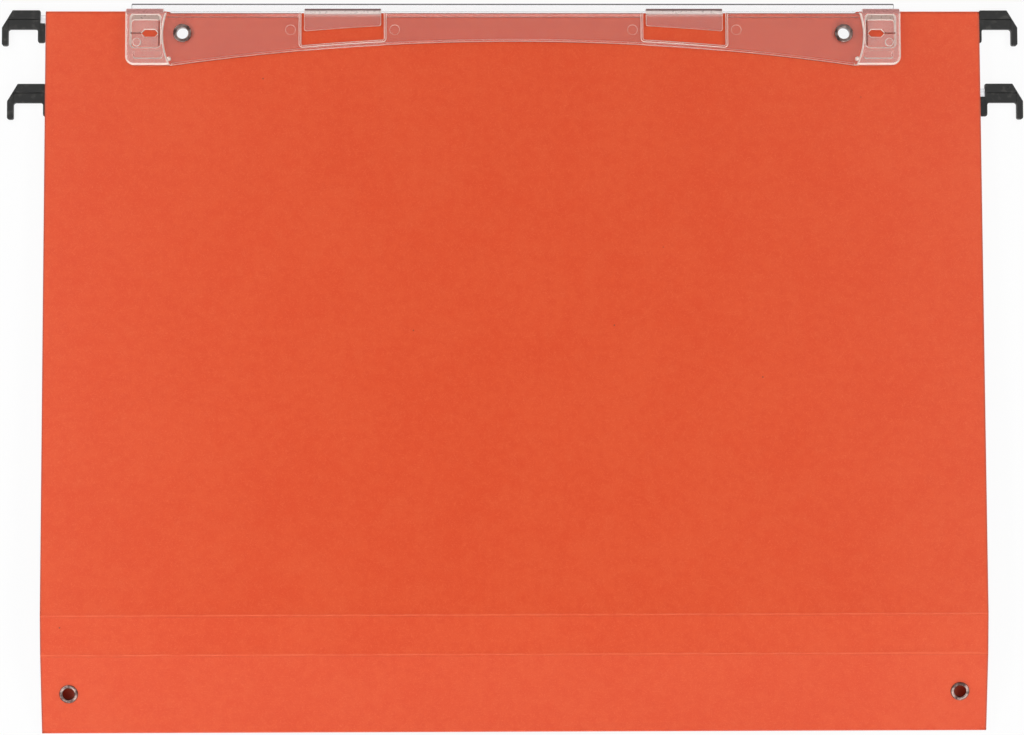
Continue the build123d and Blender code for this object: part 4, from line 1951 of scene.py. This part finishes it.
@dataclass
class Eyelets:
    """The four hollow rivets, each turned from one profile. Sizes in millimetres."""

    nickel: bpy.types.Material
    bore: float = 2.0
    barrel: float = 2.3
    flange: float = 3.15
    flange_height: float = 0.5
    rim: float = 2.6
    rim_height: float = 0.4
    rim_radii: tuple = (0.15, 0.18, 0.1)
    flange_radii: tuple = (0.1, 0.34, 0.3)
    turns: int = 56

    def build(self) -> None:
        """Builds them."""
        tree = self._tree()
        for place, node in (("title", "front_panel"), ("base", "base_panel")):
            for end in ("left", "right"):
                self._eyelet(tree, f"{place}_eyelet_{end}", node)

    def _tree(self) -> GeometryTree:
        """Tree that turns a profile about Z.

        Returns:
            The tree.
        """
        tree = GeometryTree("turned_ring", ("bore", "turns"), takes_mesh=True)
        sockets = {"Resolution": tree["turns"], "Radius": tree["bore"]}
        path = tree.node("GeometryNodeCurvePrimitiveCircle", sockets=sockets)
        section = tree.node("GeometryNodeMeshToCurve", sockets={"Mesh": tree["start"]})
        ring = tree.node("GeometryNodeCurveToMesh", sockets={"Curve": path, "Profile Curve": section})
        tree.close(tree.node("GeometryNodeSetShadeSmooth", sockets={0: ring}), self.nickel)
        return tree

    def _profile(self, node: str, grip: float) -> bpy.types.Mesh:
        """The section of an eyelet whose flange sits at zero.

        Args:
            node: The solid that the eyelet stands for.
            grip: Thickness of what it holds.

        Returns:
            A loop of edges, with X past the bore and Y down.
        """
        crown, edge = self.flange_height, self.flange - self.bore
        wall, lip = self.barrel - self.bore, self.rim - self.bore
        foot = -grip - self.rim_height
        places = [(0.0, foot), (lip, foot), (lip, -grip), (wall, -grip)]
        places += [(wall, 0.0), (edge, 0.0), (edge, crown), (0.0, crown)]
        radii = (*self.rim_radii, 0.0, 0.0, *self.flange_radii)
        points = rounded([(x, y, radius) for (x, y), radius in zip(places, radii)])
        edges = [(index, (index + 1) % len(points)) for index in range(len(points))]
        mesh = bpy.data.meshes.new(node)
        mesh.from_pydata([(point.x, -point.y, 0.0) for point in reversed(points)], edges, [])
        return mesh

    def _eyelet(self, tree: GeometryTree, node: str, panel: str) -> None:
        """Makes one eyelet.

        Args:
            tree: The tree that turns a profile.
            node: The solid that it stands for.
            panel: The flat that it goes through and rides with.
        """
        turn = FlatPlace.of(panel).matrix().to_3x3()
        out = turn @ Vector((0, 0, 1))
        heights = [vertex.co.dot(out) * MILLIMETRES for vertex in frame["nodes"][node].data.vertices]
        low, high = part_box(node)
        centre = (low + high) / 2
        seat = max(heights) - self.flange_height
        mesh = self._profile(node, seat - min(heights) - self.rim_height)
        shift = out * (seat / MILLIMETRES - centre.dot(out))
        placed = Matrix.Translation(centre + shift) @ turn.to_4x4() @ Matrix.Scale(1 / MILLIMETRES, 4)
        piece = tree.piece(f"{node}_ring", placed, mesh, bore=self.bore, turns=self.turns)
        mount(piece, FLAT_BODIES[panel], Slot.EYELET_METAL, node)


@dataclass(frozen=True)
class Softbox:
    """A large soft lamp. Sizes in metres, power in watts."""

    name: str
    place: tuple
    aim: tuple
    size: tuple
    power: float

    def build(self) -> None:
        """Puts the lamp in the scene."""
        lamp = bpy.data.lights.new(self.name, "AREA")
        lamp.shape = "RECTANGLE"
        lamp.size, lamp.size_y = self.size
        lamp.energy = self.power
        made = new_object(self.name, lamp)
        made.location = self.place
        made.rotation_euler = (Vector(self.aim) - Vector(self.place)).to_track_quat("-Z", "Y").to_euler()
        made.visible_camera = False


@dataclass
class Studio:
    """Pale floor, soft lamps, white surroundings, and the camera above the file. Sizes in metres."""

    floor_size: float = 6.0
    floor_gap: float = 0.00008
    floor_colour: tuple = (0.86, 0.86, 0.86, 1.0)
    floor_glow_share: float = 0.92
    fill: float = 0.12
    zenith: float = 0.8
    horizon: float = 0.35
    sky_range: tuple = (0.0, 0.6)
    camera_place: tuple = (-0.01632, -0.05221, 1.0)
    camera_turn: tuple = (0.0515, -0.0154, -0.0025)
    focal_pixels: float = 2931.8
    softboxes: tuple = (
        Softbox("left_softbox", (-0.38, -0.02, 0.37), (0.0, -0.02, 0.0), size=(1.1, 0.16), power=2.15),
        Softbox("right_softbox", (0.38, -0.02, 0.37), (0.0, -0.02, 0.0), size=(1.1, 0.16), power=1.9),
        Softbox("front_softbox", (0.0, -0.46, 0.6), (0.0, -0.1, 0.0), size=(0.6, 0.12), power=0.6),
        Softbox("low_softbox", (0.0, -2.0, 0.55), (0.0, 0.0, 0.0), size=(1.2, 0.4), power=15.0),
        Softbox("back_softbox", (0.0, 0.75, 0.95), (0.0, 0.0, 0.0), size=(0.34, 0.4), power=1.2),
    )

    def build(self) -> None:
        """Sets the stage."""
        self._floor()
        self._world()
        for softbox in self.softboxes:
            softbox.build()
        self._camera()
        bpy.context.scene.view_settings.view_transform = "Standard"

    def _seen(self, graph: Graph) -> Value:
        """1 for rays that show a thing to the camera, straight or by a reflection or through glass."""
        path = graph.node("ShaderNodeLightPath", output="Is Camera Ray")
        return path.most(path.sibling("Is Glossy Ray")).most(path.sibling("Is Transmission Ray"))

    def _floor(self) -> None:
        """Lays a wide pale floor just under the file, which keeps a light shadow."""
        mesh = bpy.data.meshes.new("floor")
        half = self.floor_size / 2
        corners = [(x * half, y * half, -self.floor_gap) for x, y in ((-1, -1), (1, -1), (1, 1), (-1, 1))]
        mesh.from_pydata(corners, [], [(0, 1, 2, 3)])
        floor = new_object("floor", mesh)
        shader = Shader("pale_floor")
        matt = shader.node("ShaderNodeBsdfDiffuse", sockets={"Color": self.floor_colour})
        glow = shader.node("ShaderNodeEmission", sockets={"Strength": 1.0})
        share = self._seen(shader) * self.floor_glow_share
        mesh.materials.append(shader.finish(shader.mixed(share, matt, glow)))

    def _world(self) -> None:
        """Makes a world: white to the camera, dimmer at the sides in mirrors, a plain fill elsewhere."""
        world = bpy.data.worlds.new("surroundings")
        world.use_nodes = True
        graph = Graph(world.node_tree)
        graph.tree.nodes.clear()
        height = graph.parts(graph.node("ShaderNodeTexCoord", output="Generated"))[2]
        sky = height.step(*self.sky_range).ranged(self.horizon, self.zenith - self.horizon)
        direct = graph.node("ShaderNodeLightPath", output="Is Camera Ray")
        strength = (self.fill + self._seen(graph) * (sky - self.fill)).most(direct)
        backdrop = graph.node("ShaderNodeBackground", sockets={"Color": (1, 1, 1, 1), "Strength": strength})
        output = graph.tree.nodes.new("ShaderNodeOutputWorld")
        graph.tree.links.new(backdrop.socket, output.inputs["Surface"])
        bpy.context.scene.world = world

    def _camera(self) -> None:
        """Puts the camera straight above, turned a little."""
        data = bpy.data.cameras.new("camera")
        data.lens = self.focal_pixels / IMAGE_WIDTH * data.sensor_width
        camera = new_object("camera", data)
        camera.location = self.camera_place
        camera.rotation_euler = self.camera_turn
        bpy.context.scene.camera = camera


HOOK_FINISHES = (
    HookPlastic("hook_plastic"),
    # Painted highlight: lighter plastic on the hooks' rounded rims.
    HookPlastic("rubbed_rim", (0.03, 0.03, 0.028, 1.0), (0.11, 0.105, 0.1, 1.0)),
)
HOLDER_FINISHES = (
    ClearPlastic("clear_plastic", clearness=0.985),
    # Painted highlight: a pale pinkish line on the arch's bead and the tongues' lower rims.
    ClearPlastic(
        "beaded_edge",
        (0.96, 0.72, 0.64, 1.0),
        gloss=0.35,
        clearness=0.75,
        shadow_colour=(0.75, 0.65, 0.62, 1.0),
    ),
    ClearPlastic("cloudy_block", (1.0, 0.94, 0.9, 1.0), clearness=0.8),
    # Painted highlight: cream lines on the rounded rims of the blocks, the window frames, the nub and the
    # tongues' sides.
    ClearPlastic(
        "bright_rim",
        (1.0, 0.9, 0.82, 1.0),
        gloss=0.3,
        clearness=0.2,
        shadow_colour=(0.55, 0.5, 0.48, 1.0),
    ),
    # Painted shade: dark walls in the jaw's slits.
    ClearPlastic(
        "dark_slit",
        (0.06, 0.02, 0.018, 1.0),
        gloss=0.5,
        clearness=0.1,
        shadow_colour=(0.4, 0.36, 0.35, 1.0),
    ),
    # Painted reflection: an opaque pink that stands in for the orange card seen in the curled lip.
    ClearPlastic("warm_lip", (0.62, 0.27, 0.25, 1.0), gloss=0.25, clearness=0.15),
    # Painted shade: a grey band on the step above the jaw, which faces away from the light.
    ClearPlastic("grey_step", (0.48, 0.4, 0.35, 1.0), gloss=0.25, clearness=0.3),
    ClearPlastic("shaded_line", (0.46, 0.25, 0.21, 1.0), gloss=0.45, clearness=0.55),
)
STRIP_FINISHES = (
    ClearPlastic("strip_plastic", (0.98, 0.975, 0.98, 1.0), gloss=0.08, clearness=0.97),
    # Painted shade: a dark line on the strip's top edge, standing in for the dark surroundings that the
    # clear edge shows.
    ClearPlastic("cut_edge", (0.05, 0.04, 0.048, 1.0), gloss=0.3, clearness=0.1),
    # Painted shade: a dark line along the top of each tongue's curl.
    ClearPlastic("curl_crest", (0.18, 0.08, 0.075, 1.0), gloss=0.45, clearness=0.1),
    # Painted highlight: a pale band on each tongue's curl below its crest.
    ClearPlastic("pale_curl", (0.85, 0.72, 0.68, 1.0), gloss=0.25, clearness=0.25),
    ClearPlastic(
        "tongue_plastic",
        (0.9, 0.87, 0.86, 1.0),
        gloss=0.12,
        clearness=0.955,
        # Painted highlight, whiter towards the tongue's curl.
        highlight_share=0.8,
        highlight_place=edge_frame().translation.y * MILLIMETRES,
    ),
)


def main() -> None:
    """Dresses the file, sub-assembly by sub-assembly, and sets the stage."""
    logging.basicConfig(level=logging.INFO, format="%(message)s")
    CardSheet().build()
    steel = DrawnSteel().material()
    hooks, moulded, strip = (
        tuple(finish.material() for finish in finishes)
        for finishes in (HOOK_FINISHES, HOLDER_FINISHES, STRIP_FINISHES)
    )
    for side in ("front", "rear"):
        RodSet(side, steel, hooks).build()
    holder = TitleHolder(moulded)
    holder.build()
    leaf, *curled = strip
    TitleStrip((leaf, moulded[HolderFace.BRIGHT], moulded[HolderFace.BEAD], *curled), holder).build()
    Eyelets(DarkNickel().material()).build()
    Studio().build()


if __name__ == "__main__":
    main()
